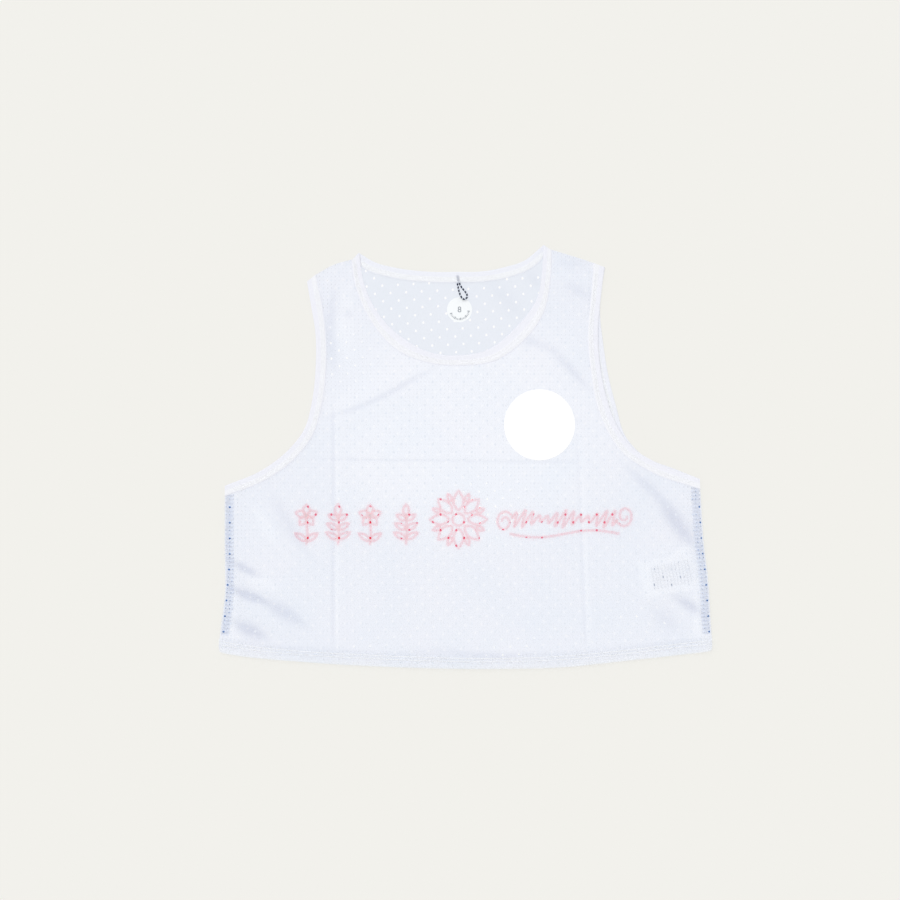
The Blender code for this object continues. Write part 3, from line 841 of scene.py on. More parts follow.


# %% [markdown]
# ## Bindings
# A folded strip of the same white yarn, knitted as a fine rib, wraps each raw edge. Its fold is
# round and soft, and its seam side is pulled up into a low ridge by the cover stitch, which is
# why that side catches the light. That light is also painted into its colour, lighter along the
# ridge, and painted shade darkens the rib's grooves. The back neck shows its inside: a flat band,
# then the ridge.

# %% Binding material
def rib(name, fold, middle, ridge, width_mm=10.5):
    """Fine cotton-like rib, doubled: opaque, dull, with a painted highlight on its ridge and painted shade in its
    grooves.
    """
    material, tree = new_material(name)
    strip = add(tree, "ShaderNodeUVMap", uv_map="strip").outputs[0]
    axes = add(tree, "ShaderNodeSeparateXYZ", {0: strip})
    along, across = axes.outputs["X"], axes.outputs["Y"]
    place = maths(tree, "DIVIDE", across, width_mm)
    ramp = add(tree, "ShaderNodeValToRGB", {"Fac": place})
    # painted highlight: the ridge's colour is lighter than the fold's and the band's
    stops = ((0.0, fold), (0.24, fold), (0.34, middle), (0.46, middle), (0.54, ridge), (0.93, ridge),
             (1.0, middle))
    while len(ramp.color_ramp.elements) < len(stops):
        ramp.color_ramp.elements.new(0.5)
    for element, (position, colour) in zip(ramp.color_ramp.elements, stops):
        element.position, element.color = position, linear(colour)
    # ribs 1.35 mm apart along the strip, which sway to and fro each 1.6 mm across it
    lean = maths(tree, "MULTIPLY", across, 2 * math.pi / 1.6)
    sway = maths(tree, "SINE", lean)
    shifted = maths(tree, "MULTIPLY_ADD", sway, 0.35, along)
    turns = maths(tree, "MULTIPLY", shifted, 2 * math.pi / 1.35)
    wave = maths(tree, "SINE", turns)
    fluff = noise(tree, strip, 1.1, 2.0)
    height = maths(tree, "MULTIPLY_ADD", fluff, 1.2, wave)
    relief = bumped(tree, height, 0.5, 0.16 * MM)
    # painted shade: the grooves between the ribs are up to a tenth darker, besides their bump
    groove_shade = add(tree, "ShaderNodeMapRange", {"Value": wave, "From Min": -1.0, "From Max": -0.2,
                                            "To Min": 0.90, "To Max": 1.0}).outputs[0]
    tone = add(tree, "ShaderNodeCombineColor", {0: groove_shade, 1: groove_shade, 2: groove_shade}).outputs[0]
    shaded = mixed_colour(tree, 1.0, ramp.outputs[0], tone, "MULTIPLY")
    yarn = add(tree, "ShaderNodeBsdfPrincipled", {"Base Color": shaded, "Roughness": 0.85,
                                                  "Normal": relief, "Sheen Weight": 0.1, "Sheen Roughness": 0.5})
    return surfaced(material, yarn)


# the third colour of each, the lightest, is the painted highlight on the ridge
FRONT_RIB = rib("white rib binding", "f6f7ff", "f6f7ff", "f9faff")
BACK_RIB = rib("white rib binding, inside", "f5f7ff", "f5f7ff", "f9fbff")

# %% Bindings
# Section of a binding: share across, further mm, mm up. Rounded fold, flat band, stitched ridge.
BINDING_SECTION = [
    (0.0, 0.0, 0.62), (0.0, 0.12, 0.95), (0.0, 0.5, 1.2), (0.0, 1.3, 1.33), (0.0, 2.6, 1.25), (0.5, 0.0, 1.12),
    (0.7, 0.0, 1.16), (0.8, 0.0, 1.34), (0.9, 0.0, 1.4), (1.0, 0.0, 1.3), (1.0, 0.7, 1.05), (1.0, 1.0, 0.78),
    (1.0, 0.6, 0.12), (0.8, 0.0, 0.0), (0.0, 1.3, 0.0), (0.0, 0.3, 0.12), (0.0, 0.08, 0.3),
]


def front_base(x, y):
    """Underside of the front's bindings."""
    return front_surface(x, y) - 0.72 * MM


binding_lines = {}
for part, base, material in (("front", front_base, FRONT_RIB), ("back", nothing, BACK_RIB)):
    for place in (f"neck_binding_{part}", f"armhole_binding_{part}_right", f"armhole_binding_{part}_left"):
        binding_lines[place] = binding_edges(place)
        fold, seam = binding_lines[place]
        piece = swept(place + "_rib", fold, seam, BINDING_SECTION, base, material)
        declared(piece, "rib binding", place)
        length = run_lengths(fold)[-1]
        # the strip is cut 22 mm wide; folded, half of that and its fold show
        print(place, round(length / MM), "mm,", triangles_in(piece), "triangles")

# %% [markdown]
# ## Side and shoulder seams
# Front and back meet at the sides and the shoulders. A narrow roll of the same knit closes each
# of those edges, from the front's face round to the back's. Inside each side seam, the allowances
# are overlocked together in blue thread, and that strip shows through the eyelets along the side.

# %% Edge rolls
def between(line, start, end):
    """The stretch of a closed line from the point nearest start to the one nearest end."""
    first = np.hypot(*(line[:, :2] - start).T).argmin()
    last = np.hypot(*(line[:, :2] - end).T).argmin()
    rolled = np.roll(line, -first, 0)
    return rolled[:(last - first) % len(line) + 1, :2]


HEM_KNIT = knit("white mesh knit, doubled", ("ffffff", "fbfdff"), 0.0, (0.0, 0.0), 0.6)


def edge_roll(name, line, inward, reach=1.3):
    """A half-round roll over an open edge, from the front's face to the back's."""
    steps = 8
    points = []
    for place, side in zip(line, inward):
        inner = place + side * reach * MM
        top = float(front_surface(*inner)) + 0.02 * MM
        bottom = FEET
        middle, half = (top + bottom) / 2, (top - bottom) / 2
        for k in range(steps + 1):
            angle = math.pi * k / steps
            out = inner - side * math.sin(angle) * (reach + 0.2) * MM
            points.append((out[0], out[1], middle + half * math.cos(angle)))
    piece = new_piece(name, points, faces_between(len(line), steps + 1, closed=False), HEM_KNIT, smooth_below=80)
    return declared(faced_out(piece), "perforated knit")


def inward_of(line, left):
    """Unit vectors across a line, to its left or to its right."""
    ahead = np.gradient(line, axis=0)
    side = np.column_stack([-ahead[:, 1], ahead[:, 0]]) * (1 if left else -1)
    return side / np.hypot(*side.T)[:, None]


neck_seam = binding_lines["neck_binding_front"][1]
armhole_seams = {side: binding_lines[f"armhole_binding_front_{side}"][1] for side in ("right", "left")}
hem_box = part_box("front_panel")
FOOT_Y = -0.190      # where the sides end, just above the hem's corners
foot_corner = {side: np.array((corner.x, FOOT_Y)) for side, corner in zip(("right", "left"), hem_box)}


def ends_near(line, point):
    """The end of a line that is nearer a point."""
    return min((line[0], line[-1]), key=lambda end: np.hypot(*(end - point)))


edge_lines = {}
for side in ("right", "left"):
    underarm = ends_near(armhole_seams[side], foot_corner[side])
    shoulder_end = max((armhole_seams[side][0], armhole_seams[side][-1]), key=lambda end: end[1])
    neck_end = ends_near(neck_seam, shoulder_end)
    # the rim runs one way round, so the left side's lines start at their other ends
    for part, ends in (("side_", (underarm, foot_corner[side])), ("shoulder_", (neck_end, shoulder_end))):
        edge_lines[part + side] = between(front_rim, *(ends if side == "right" else ends[::-1]))
for name, line in edge_lines.items():
    roll = edge_roll(name + "_roll", line, inward_of(line, left=True))
    print(name, round(run_lengths(line)[-1] / MM), "mm")

# %% [markdown]
# ## Hems
# The lower edge of each panel is turned up once, 13 mm inside, and held by a two-needle cover
# stitch. A sewn hem is two layers pressed flat, with a soft round at its fold: one sweep along
# the edge makes it, between the rim and a line 13 mm above it.

# %% Hem turn-ups
# The turned-up layer lies just under the panel, and its fold comes up round the panel's edge.
HEM_SECTION = [
    (1.0, 0.0, 0.42), (0.5, 0.0, 0.40), (0.0, 1.2, 0.40), (0.0, 0.3, 0.42), (0.0, 0.0, 0.50), (0.0, -0.12, 0.60),
    (0.0, -0.05, 0.70), (0.0, 0.2, 0.76), (0.0, 0.7, 0.76), (0.0, 1.3, 0.66),
]


def hem_edges(node):
    """The lower rim of a panel and the top of its turn-up, from the wearer's right to left."""
    rim = panel_rims[node][:, :2]
    low_rim = rim[rim[:, 1] < hem_curve(rim[:, 0]) + HEM_DEPTH - 0.4 * MM]
    low_rim = low_rim[np.argsort(low_rim[:, 0])]
    return low_rim, np.column_stack([low_rim[:, 0], hem_curve(low_rim[:, 0]) + HEM_DEPTH])


def front_hem_base(x, y):
    """Underside of the front's turned-up hem."""
    return front_surface(x, y) - 0.68 * MM


hem_lines = {}
for node, base in (("front_panel", front_hem_base), ("back_panel", nothing)):
    edge, top = hem_edges(node)
    hem_lines[node] = (edge, top)
    hem = swept(node.replace("panel", "hem"), edge, top, HEM_SECTION, base, HEM_KNIT, closed=False)
    declared(hem, "perforated knit")
    print(hem.name, round(run_lengths(edge)[-1] / MM), "mm,", triangles_in(hem), "triangles")

# %% [markdown]
# ## Stitches with Geometry Nodes
# Cover stitches run along both hems in two rows, and across the ridge of every binding. Each
# stitch is a small arch of thread whose ends go into the cloth. A tree spreads arches along any
# line and turns each with it, with the spacing, size and slant as its inputs.

# %% The stitch tree
def stitch_rows():
    """Arches of thread, spread along a line."""
    tree, sockets, given = geometry_tree("row of stitches", {
        "Spacing": "Float", "Length": "Float", "Rise": "Float", "Thread": "Float", "Slant": "Float",
        "Material": "Material"})
    line = add(tree, "GeometryNodeMeshToCurve", {"Mesh": given["Geometry"]}).outputs["Curve"]
    spots = add(tree, "GeometryNodeCurveToPoints", {"Curve": line, "Length": given["Spacing"]}, mode="LENGTH")
    # one arch: half a circle, flattened to the stitch's rise and stretched to its length
    bow = add(tree, "GeometryNodeCurveArc", {"Resolution": 5, "Radius": 0.5, "Start Angle": 0.0,
                                             "Sweep Angle": math.pi}).outputs["Curve"]
    upright = add(tree, "GeometryNodeTransform", {"Geometry": bow, "Rotation": (math.pi / 2, 0, 0)}).outputs[0]
    double_rise = maths(tree, "MULTIPLY", given["Rise"], 2.0)
    stretch = add(tree, "ShaderNodeCombineXYZ", {"X": given["Length"], "Y": 1.0, "Z": double_rise}).outputs[0]
    lean = add(tree, "ShaderNodeCombineXYZ", {"Z": given["Slant"]}).outputs[0]
    sized = add(tree, "GeometryNodeTransform", {"Geometry": upright, "Scale": stretch}).outputs[0]
    slanted = add(tree, "GeometryNodeTransform", {"Geometry": sized, "Rotation": lean}).outputs[0]
    half_thread = maths(tree, "DIVIDE", given["Thread"], 2.0)
    profile = add(tree, "GeometryNodeCurvePrimitiveCircle", {"Resolution": 5,
                                                             "Radius": half_thread}).outputs["Curve"]
    arch = add(tree, "GeometryNodeCurveToMesh", {"Curve": slanted, "Profile Curve": profile,
                                                 "Fill Caps": True}).outputs[0]
    # a stitch's own length runs along the line, and its top stays up
    level = add(tree, "FunctionNodeAlignRotationToVector", {"Vector": spots.outputs["Tangent"]}, axis="X",
                pivot_axis="Z").outputs[0]
    row = add(tree, "GeometryNodeInstanceOnPoints", {"Points": spots.outputs["Points"], "Instance": arch,
                                                     "Rotation": level}).outputs[0]
    real = add(tree, "GeometryNodeRealizeInstances", {"Geometry": row}).outputs[0]
    smooth = add(tree, "GeometryNodeSetShadeSmooth", {"Geometry": real}).outputs[0]
    hand_out(tree, given, smooth)
    return tree, sockets


stitching, stitching_sockets = stitch_rows()


def line_object(name, lines):
    """A wire object of separate open lines, each an array of points in metres."""
    points, edges = [], []
    for line in lines:
        edges += [(len(points) + i, len(points) + i + 1) for i in range(len(line) - 1)]
        points += [tuple(p) for p in line]
    mesh = bpy.data.meshes.new(name)
    mesh.from_pydata(points, edges, [])
    return in_scene(name + " line", mesh)


def thread(name, colour):
    """Spun polyester thread: dull and soft, with a faint sheen where its fibres stand."""
    material, tree = new_material(name)
    place = add(tree, "ShaderNodeTexCoord").outputs["Object"]
    # plies 0.35 mm apart, drawn coarser than real so that they show
    plies = noise(tree, place, 1 / (0.35 * MM), 1.0)
    relief = bumped(tree, plies, 0.3, 0.06 * MM)
    yarn = add(tree, "ShaderNodeBsdfPrincipled", {"Base Color": linear(colour), "Roughness": 0.7, "Normal": relief,
                                                  "Sheen Weight": 0.15, "Sheen Roughness": 0.4})
    return surfaced(material, yarn)


WHITE_THREAD = thread("white spun thread", "fcfdff")

# %% Stitches on the hems
def raised(line, surface):
    """A flat line, lifted onto a surface."""
    return np.column_stack([line, surface(line[:, 0], line[:, 1])])


def along_share(edges, share, surface):
    """A line part of the way across a strip, lifted onto a surface."""
    start, end = edges
    return raised(start + (end - start) * share, surface)


def top_of(piece, otherwise):
    """A function that reads a piece's own upper face, and falls back on another over its holes."""
    tree = rays_onto(piece)

    def height(x, y):
        """Heights at arrays of places."""
        heights = otherwise(x, y)
        for i, place in enumerate(zip(x, y)):
            hit = tree.ray_cast((*place, 0.1), (0, 0, -1))[0]
            heights[i] = hit.z if hit else heights[i]
        return heights
    return height


HEM_ROWS = (7.3 * MM, 10.6 * MM)      # heights above the hem's edge
SEAM_POINTS = 8                       # of the hem's edge, left unsewn at each end
front_top = top_of(front, front_surface)
for node, surface in (("front_panel", front_top), ("back_panel", lambda x, y: nothing(x, y) + 0.06 * MM)):
    sewn = np.arange(*hem_lines[node][0][[SEAM_POINTS, -SEAM_POINTS], 0], 2 * MM)
    sewn_lines = [raised(np.column_stack([sewn, hem_curve(sewn) + height]), surface) for height in HEM_ROWS]
    rows_wire = line_object(node + " stitches", sewn_lines)
    rise = 0.22 * MM if node == "front_panel" else -0.05 * MM
    stitches = run_nodes(rows_wire, stitching, stitching_sockets, node.replace("panel", "hem_stitches"),
                         Spacing=2.7 * MM, Length=2.5 * MM, Rise=rise, Thread=0.62 * MM, Slant=0.0,
                         Material=WHITE_THREAD)
    declared(stitches, "perforated knit")
    print(stitches.name, triangles_in(stitches), "triangles")

# %% Stitches on the bindings
# Rows: share of the binding's width, height of its surface in millimetres, slant in degrees.
RIDGE_ROWS = ((0.60, 1.08, 40.0), (0.84, 1.30, -40.0))
for name, edges in binding_lines.items():
    base = front_base if "front" in name else nothing
    trimmed = tuple(line[4:-4] for line in edges)
    for row, (share, level, slant) in enumerate(RIDGE_ROWS):
        ridge = along_share(trimmed, share, lambda x, y: base(x, y) + level * MM)
        stitches = run_nodes(line_object(name + " stitches", [ridge]), stitching, stitching_sockets,
                             f"{name}_stitches_{row + 1}", Spacing=1.9 * MM, Length=3.0 * MM, Rise=0.30 * MM,
                             Thread=0.55 * MM, Slant=math.radians(slant), Material=WHITE_THREAD)
        declared(stitches, "rib binding")
        print(stitches.name, triangles_in(stitches), "triangles")

# %% [markdown]
# ## Overlocked side seams
# Inside each side, the two raw edges are trimmed and wrapped together by an overlock machine, in
# blue thread. It's a flat strip about 8 mm wide. It can be seen only through the eyelets, dark in
# the large ones and pale in the small ones. Its wraps are as far apart as the rows of small
# eyelets, so that thread shows in each, and light from below comes through them blue.

# %% Overlock material and strips
def overlock(name, colour, through, fuzz):
    """Looped overlock thread, spun polyester: wraps lit blue from below, with blue fuzz between them."""
    material, tree = new_material(name)
    strip = add(tree, "ShaderNodeUVMap", uv_map="strip").outputs[0]
    place = add(tree, "ShaderNodeUVMap", uv_map="cloth").outputs[0]
    across = add(tree, "ShaderNodeSeparateXYZ", {0: strip}).outputs["Y"]
    up = add(tree, "ShaderNodeSeparateXYZ", {0: place}).outputs["Y"]
    # as many wraps as rows of small eyelets, so that thread shows in each; they lean a little
    row = maths(tree, "SUBTRACT", up, FRONT_LATTICE[1][1])
    cycle = maths(tree, "DIVIDE", row, FINE_PITCH)
    leaning = maths(tree, "MULTIPLY_ADD", across, 0.03, cycle)
    from_wrap = maths(tree, "PINGPONG", leaning, 0.5)
    cover = add(tree, "ShaderNodeMapRange", {"Value": from_wrap, "From Min": 0.19, "From Max": 0.12}).outputs[0]
    relief = bumped(tree, cover, 0.6, 0.25 * MM)
    yarn = add(tree, "ShaderNodeBsdfPrincipled", {"Base Color": linear(colour), "Roughness": 0.75,
                                                  "Normal": relief})
    glow = add(tree, "ShaderNodeBsdfTranslucent", {"Color": linear(through)})
    wrap = mixed_shader(tree, 0.45, yarn, glow)
    gaps = add(tree, "ShaderNodeBsdfTransparent", {"Color": linear(fuzz)})
    mixed = mixed_shader(tree, cover, gaps, wrap)
    return surfaced(material, mixed)


OVERLOCK = overlock("blue overlock thread", "12365e", "5c9fe6", "eef5ff")
OVERLOCK_SECTION = [(0.0, 0.0, 0.25), (0.0, 0.5, 0.5), (0.5, 0.0, 0.55), (1.0, -0.5, 0.5), (1.0, 0.0, 0.25),
                    (1.0, -0.4, 0.02), (0.0, 0.4, 0.02)]


def seam_base(x, y):
    """Underside of the overlocked strips, just over the back."""
    return back_surface(x, y) + 0.12 * MM


for side in ("right", "left"):
    node = f"side_seam_{side}"
    box_low, box_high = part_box(node)
    edge = edge_lines["side_" + side]
    edge = edge[(edge[:, 1] > box_low.y) & (edge[:, 1] < box_high.y)]
    across = inward_of(edge, left=True)
    inner = edge + across * 8.8 * MM
    inner[edge[:, 1].argmax(), 1] += 2.4 * MM     # its top end slants with the binding
    strip = swept(node + "_overlock", edge + across * 0.9 * MM, inner, OVERLOCK_SECTION, seam_base, OVERLOCK)
    declared(strip, "blue overlock", node)
    print(strip.name, round(run_lengths(edge)[-1] / MM), "mm")

# %% [markdown]
# ## Labels and the chest disc
# A round size label is heat-pressed inside the back neck, a satin care label is sewn into the
# left side seam, and a plain white disc is bonded to the left chest. The disc follows the cloth
# under it, so it is rings of points laid on the front's surface, with a thin edge that is closed
# below. A plain number and a ring of ticks stand for the label's print.

# %% Bonded discs
def film(name, colour, roughness):
    """Heat-pressed polyurethane film: smooth and matt, with a faint grain from the cloth under it."""
    material, tree = new_material(name)
    place = add(tree, "ShaderNodeTexCoord").outputs["Object"]
    grain = noise(tree, place, 1 / (1.3 * MM), 1.0)
    relief = bumped(tree, grain, 0.12, 0.05 * MM)
    skin = add(tree, "ShaderNodeBsdfPrincipled", {"Base Color": linear(colour), "Roughness": roughness,
                                                  "Normal": relief})
    return surfaced(material, skin)


def bonded_disc(name, node, surface, lift, thickness, material, rings=14, around=96):
    """A thin disc that follows a surface, at the place and size of its solid."""
    box_low, box_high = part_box(node)
    centre, radius = (box_low + box_high) / 2, (box_high.x - box_low.x) / 2
    shares = [k / rings for k in range(1, rings + 1)]
    spots = [(centre.x, centre.y)] + [(centre.x + radius * s * math.cos(a), centre.y + radius * s * math.sin(a))
                                      for s in shares for a in (2 * math.pi * k / around for k in range(around))]
    spots = np.array(spots)
    height = surface(spots[:, 0], spots[:, 1]) + lift
    edge = np.clip((np.hypot(*(spots - (centre.x, centre.y)).T) / radius - 0.985) / 0.015, 0, 1)
    top = np.column_stack([spots, height + thickness * (1 - 0.6 * edge ** 2)])
    under = np.column_stack([spots[-around:], height[-around:] - 0.05 * MM])
    points = np.vstack([top, under, [[centre.x, centre.y, height[0] - 0.05 * MM]]])
    faces = [(0, 1 + k, 1 + (k + 1) % around) for k in range(around)]
    faces += turned(faces_between(rings + 1, around), start=1)
    under_start, last = 1 + rings * around, len(points) - 1
    faces += [(last, under_start + (k + 1) % around, under_start + k) for k in range(around)]
    return declared(new_piece(name, points, faces, material, smooth_below=50), "disc film", node)


DISC_FILM = film("white bonded film", "ffffff", 0.55)
LABEL_FILM = film("white label film", "f6f9fb", 0.6)
disc = bonded_disc("chest_disc", "chest_patch", front_surface, 0.12 * MM, 0.35 * MM, DISC_FILM)
size_disc = bonded_disc("size_disc", "size_label", back_surface, 0.08 * MM, 0.25 * MM, LABEL_FILM, 6, 64)
print("discs:", [round(d.dimensions.x / MM, 1) for d in (disc, size_disc)], "mm across")

# %% Size number and ticks
PRINT_GREY = film("grey label print", "868d96", 0.6)
label_low, label_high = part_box("size_label")
label_centre = (label_low + label_high) / 2
label_top = float(back_surface(label_centre.x, label_centre.y)) + 0.33 * MM


def printed_text(name, body, height, place, material):
    """A flat, thin number: text made into a mesh, then put in its place."""
    text = bpy.data.curves.new(name, "FONT")
    text.body, text.size, text.extrude = body, height, 0.02 * MM
    text.align_x, text.align_y = "CENTER", "CENTER"
    text.resolution_u = 4
    plain = made_plain(in_scene(name + " text", text), name)
    plain.data.materials.clear()
    plain.data.materials.append(material)
    plain.data.transform(Matrix.Translation(place))
    return plain


number = printed_text("size_number", "8", 8.2 * MM, Vector((label_centre.x, label_centre.y, label_top)),
                      PRINT_GREY)
declared(number, "label satin")
# Ticks round the number: how many, the first one's angle and the step to the next, in degrees
TICKS, FIRST_TICK, TICK_STEP = 17, 204, 9.2
tick_points, tick_faces = [], []
for k in range(TICKS):
    angle = math.radians(FIRST_TICK + TICK_STEP * k)
    out = Vector((math.cos(angle), math.sin(angle), 0))
    side = Vector((-out.y, out.x, 0)) * (0.28 if k % 4 else 0.45) * MM
    inner, outer = (label_centre + out * r * MM for r in (8.6 if k % 4 else 8.0, 10.4))
    first = len(tick_points)
    for z in (label_top - 0.02 * MM, label_top + 0.02 * MM):
        tick_points += [Vector((p.x, p.y, z)) for p in (inner - side, outer - side, outer + side, inner + side)]
    tick_faces += [[first + i for i in face] for face in
                   ((3, 2, 1, 0), (4, 5, 6, 7), (0, 1, 5, 4), (1, 2, 6, 5), (2, 3, 7, 6), (3, 0, 4, 7))]
declared(new_piece("size_ticks", tick_points, tick_faces, PRINT_GREY), "label satin")
print("ticks:", TICKS)

# %% Care label
# The label's bars: how far apart, the inked share of that, and where they start, in millimetres
BAR_STEP, BAR_SHARE, BAR_START = 3.4, 0.34, 10.0
BAR_FOOT, BAR_TOP = 5.0, 28.0      # where each bar ends


def satin(name, colour, print_colour):
    """Woven label satin: smooth and bright, with printed bars in place of words."""
    material, tree = new_material(name)
    sheet_uv = add(tree, "ShaderNodeUVMap", uv_map="label").outputs[0]
    axes = add(tree, "ShaderNodeSeparateXYZ", {0: sheet_uv})
    cycle = maths(tree, "DIVIDE", axes.outputs["X"], BAR_STEP)
    part = maths(tree, "FRACT", cycle)
    bar = maths(tree, "LESS_THAN", part, BAR_SHARE)
    start = maths(tree, "GREATER_THAN", axes.outputs["X"], BAR_START)
    low_end = maths(tree, "GREATER_THAN", axes.outputs["Y"], BAR_FOOT)
    top_end = maths(tree, "LESS_THAN", axes.outputs["Y"], BAR_TOP)
    inked = bar
    for limit in (start, low_end, top_end):
        inked = maths(tree, "MULTIPLY", inked, limit)
    colours = mixed_colour(tree, inked, linear(colour), linear(print_colour))
    # satin floats 0.5 mm apart, drawn coarser than real so that they show
    weave = maths(tree, "MULTIPLY", axes.outputs["Y"], 2 * math.pi / 0.5)
    floats = maths(tree, "SINE", weave)
    relief = bumped(tree, floats, 0.15, 0.04 * MM)
    skin = add(tree, "ShaderNodeBsdfPrincipled", {"Base Color": colours, "Roughness": 0.4,
                                                  "Sheen Weight": 0.2, "Normal": relief})
    glow = add(tree, "ShaderNodeBsdfTranslucent", {"Color": colours})
    mixed = mixed_shader(tree, 0.9, skin, glow)
    return surfaced(material, mixed)


def care_label():
    """A satin rectangle in the solid's place, its free end a little lifted."""
    ring = rim_of("care_label")
    # the rim's corners give the label's own axes: the sewn end is nearest the side edge
    corners = ring[np.sort(np.argsort(turns_at(ring))[-4:])][:, :2]
    sides = [(corners[(k + 1) % 4] - corners[k]) for k in range(4)]
    long = max(range(4), key=lambda k: np.hypot(*sides[k]))
    along = sides[long] / np.hypot(*sides[long])
    if along[0] > 0:
        origin, along = corners[(long + 1) % 4], -along
    else:
        origin = corners[long]
    up = np.array((-along[1], along[0]))
    reach = [float((c - origin) @ up) for c in corners]
    if abs(min(reach)) > max(reach):
        up = -up
    length, depth = np.hypot(*sides[long]), np.hypot(*sides[(long + 1) % 4])
    columns_count, rows_count = 24, 12
    points, uvs = [], []
    for j in range(rows_count + 1):
        for i in range(columns_count + 1):
            u, v = i / columns_count, j / rows_count
            x, y = origin + along * u * length + up * v * depth
            curl = 0.25 * u * u * (2 * v - 1) ** 2
            points.append((x, y, float(back_surface(x, y)) + (0.35 + curl) * MM))
            uvs.append(((1 - u) * length / MM, v * depth / MM))
    faces = faces_between(rows_count + 1, columns_count + 1, closed=False)
    label = new_piece("care_label_satin", points, faces, satin("white label satin", "ffffff", "c2c6d0"), 60)
    write_map(label, "label", [uvs[v] for f in label.data.polygons for v in f.vertices])
    if label.data.polygons[0].normal.z < 0:
        label.data.flip_normals()
    return declared(label, "label satin", "care_label")


label = care_label()
print("care label:", triangles_in(label), "triangles")

# %% [markdown]
# ## Locker loop
# A short round cord is caught under the back neck binding by a bar tack, so that the vest can
# hang on a hook. It's braided from navy and pale yarn, which gives it a dashed look. Its two ends
# go into the binding, so it's a tube along a route from the solid model, with its own UV map.

# %% Loop route and tube
# Columns, in millimetres: x, y, z of points that the cord passes through, as in the solid.
LOOP = (
    (-8.3, 174.0, 2.2), (-7.6, 170.5, 2.2), (-6.5, 165.5, 2.5), (-4.8, 160.6, 3.1), (-1.8, 157.4, 3.2),
    (1.2, 158.8, 3.2), (1.5, 161.8, 3.0), (-0.6, 165.2, 2.5), (-4.0, 169.4, 2.2), (-6.4, 174.0, 2.2),
)
LOOP_DIAMETER = 1.7 * MM


def loop_cord(name, dark, light):
    """Round braid of two yarns: a pale dash after each navy one, on a slant."""
    material, tree = new_material(name)
    strip = add(tree, "ShaderNodeUVMap", uv_map="strip").outputs[0]
    axes = add(tree, "ShaderNodeSeparateXYZ", {0: strip})
    slant = maths(tree, "MULTIPLY_ADD", axes.outputs["Y"], 0.3, axes.outputs["X"])
    # one navy and one pale dash take 3.3 mm
    cycle = maths(tree, "DIVIDE", slant, 3.3)
    part = maths(tree, "FRACT", cycle)
    pale = maths(tree, "LESS_THAN", part, 0.34)
    colour = mixed_colour(tree, pale, linear(dark), linear(light))
    plait = maths(tree, "MULTIPLY", slant, 2 * math.pi / 0.8)
    wave = maths(tree, "SINE", plait)
    relief = bumped(tree, wave, 0.5, 0.1 * MM)
    yarn = add(tree, "ShaderNodeBsdfPrincipled", {"Base Color": colour, "Roughness": 0.75,
                                                  "Normal": relief})
    return surfaced(material, yarn)


def tube(name, route, diameter, material, around=12):
    """A round tube along a route, with closed ends and a UV map in millimetres."""
    points, faces, uvs = [], turned(faces_between(len(route), around)), []
    along = np.concatenate([[0], np.cumsum(np.linalg.norm(np.diff(route, axis=0), axis=1))]) / MM
    for i, place in enumerate(route):
        ahead = Vector(route[min(i + 1, len(route) - 1)] - route[max(i - 1, 0)]).normalized()
        side = ahead.cross(Vector((0, 0, 1))).normalized()
        over = side.cross(ahead)
        for k in range(around):
            angle = 2 * math.pi * k / around
            points.append(Vector(place) + (side * math.cos(angle) + over * math.sin(angle)) * diameter / 2)
    step = math.pi * diameter / around / MM
    for i in range(len(route) - 1):
        for k in range(around):
            uvs += [(along[i], k * step), (along[i + 1], k * step),
                    (along[i + 1], (k + 1) * step), (along[i], (k + 1) * step)]
    last = (len(route) - 1) * around
    for cap in (list(range(around)), list(range(last + around - 1, last - 1, -1))):
        faces.append(cap)
        uvs += [(0.0, 0.0)] * around
    piece = new_piece(name, points, faces, material, smooth_below=60)
    write_map(piece, "strip", uvs)
    return faced_out(piece)


loop_route = softened(np.array(LOOP) * MM, 4)
LOOP_BRAID = loop_cord("navy and white braid", "0c1636", "d3dbe8")
loop = declared(tube("locker_loop", loop_route, LOOP_DIAMETER, LOOP_BRAID), "loop cord", "neck_loop")

# %% Bar tack
TACK_TOP, TACK_FOOT = (-7.9, 181.0, 1.95), (-7.0, 175.6, 1.95)      # millimetres
tack_wire = line_object("bar tack", [np.linspace(TACK_TOP, TACK_FOOT, 10) * MM])
tack = run_nodes(tack_wire, stitching, stitching_sockets, "bar_tack", Spacing=0.62 * MM, Length=2.4 * MM,
                 Rise=0.3 * MM, Thread=0.35 * MM, Slant=math.radians(78), Material=thread("grey thread", "c6cad6"))
declared(tack, "rib binding")

# %% [markdown]
# ## Print on the back
# A pink print crosses the wearer's back, and through two layers of knit it shows on the front as
# faint rose lines. The ink is thin and mostly tints the light. Its motifs here are plain ones: four
# sprigs, a rosette and a running wave. All of it is drawn as lines, so Geometry Nodes give the
# lines their width and turn them to film.

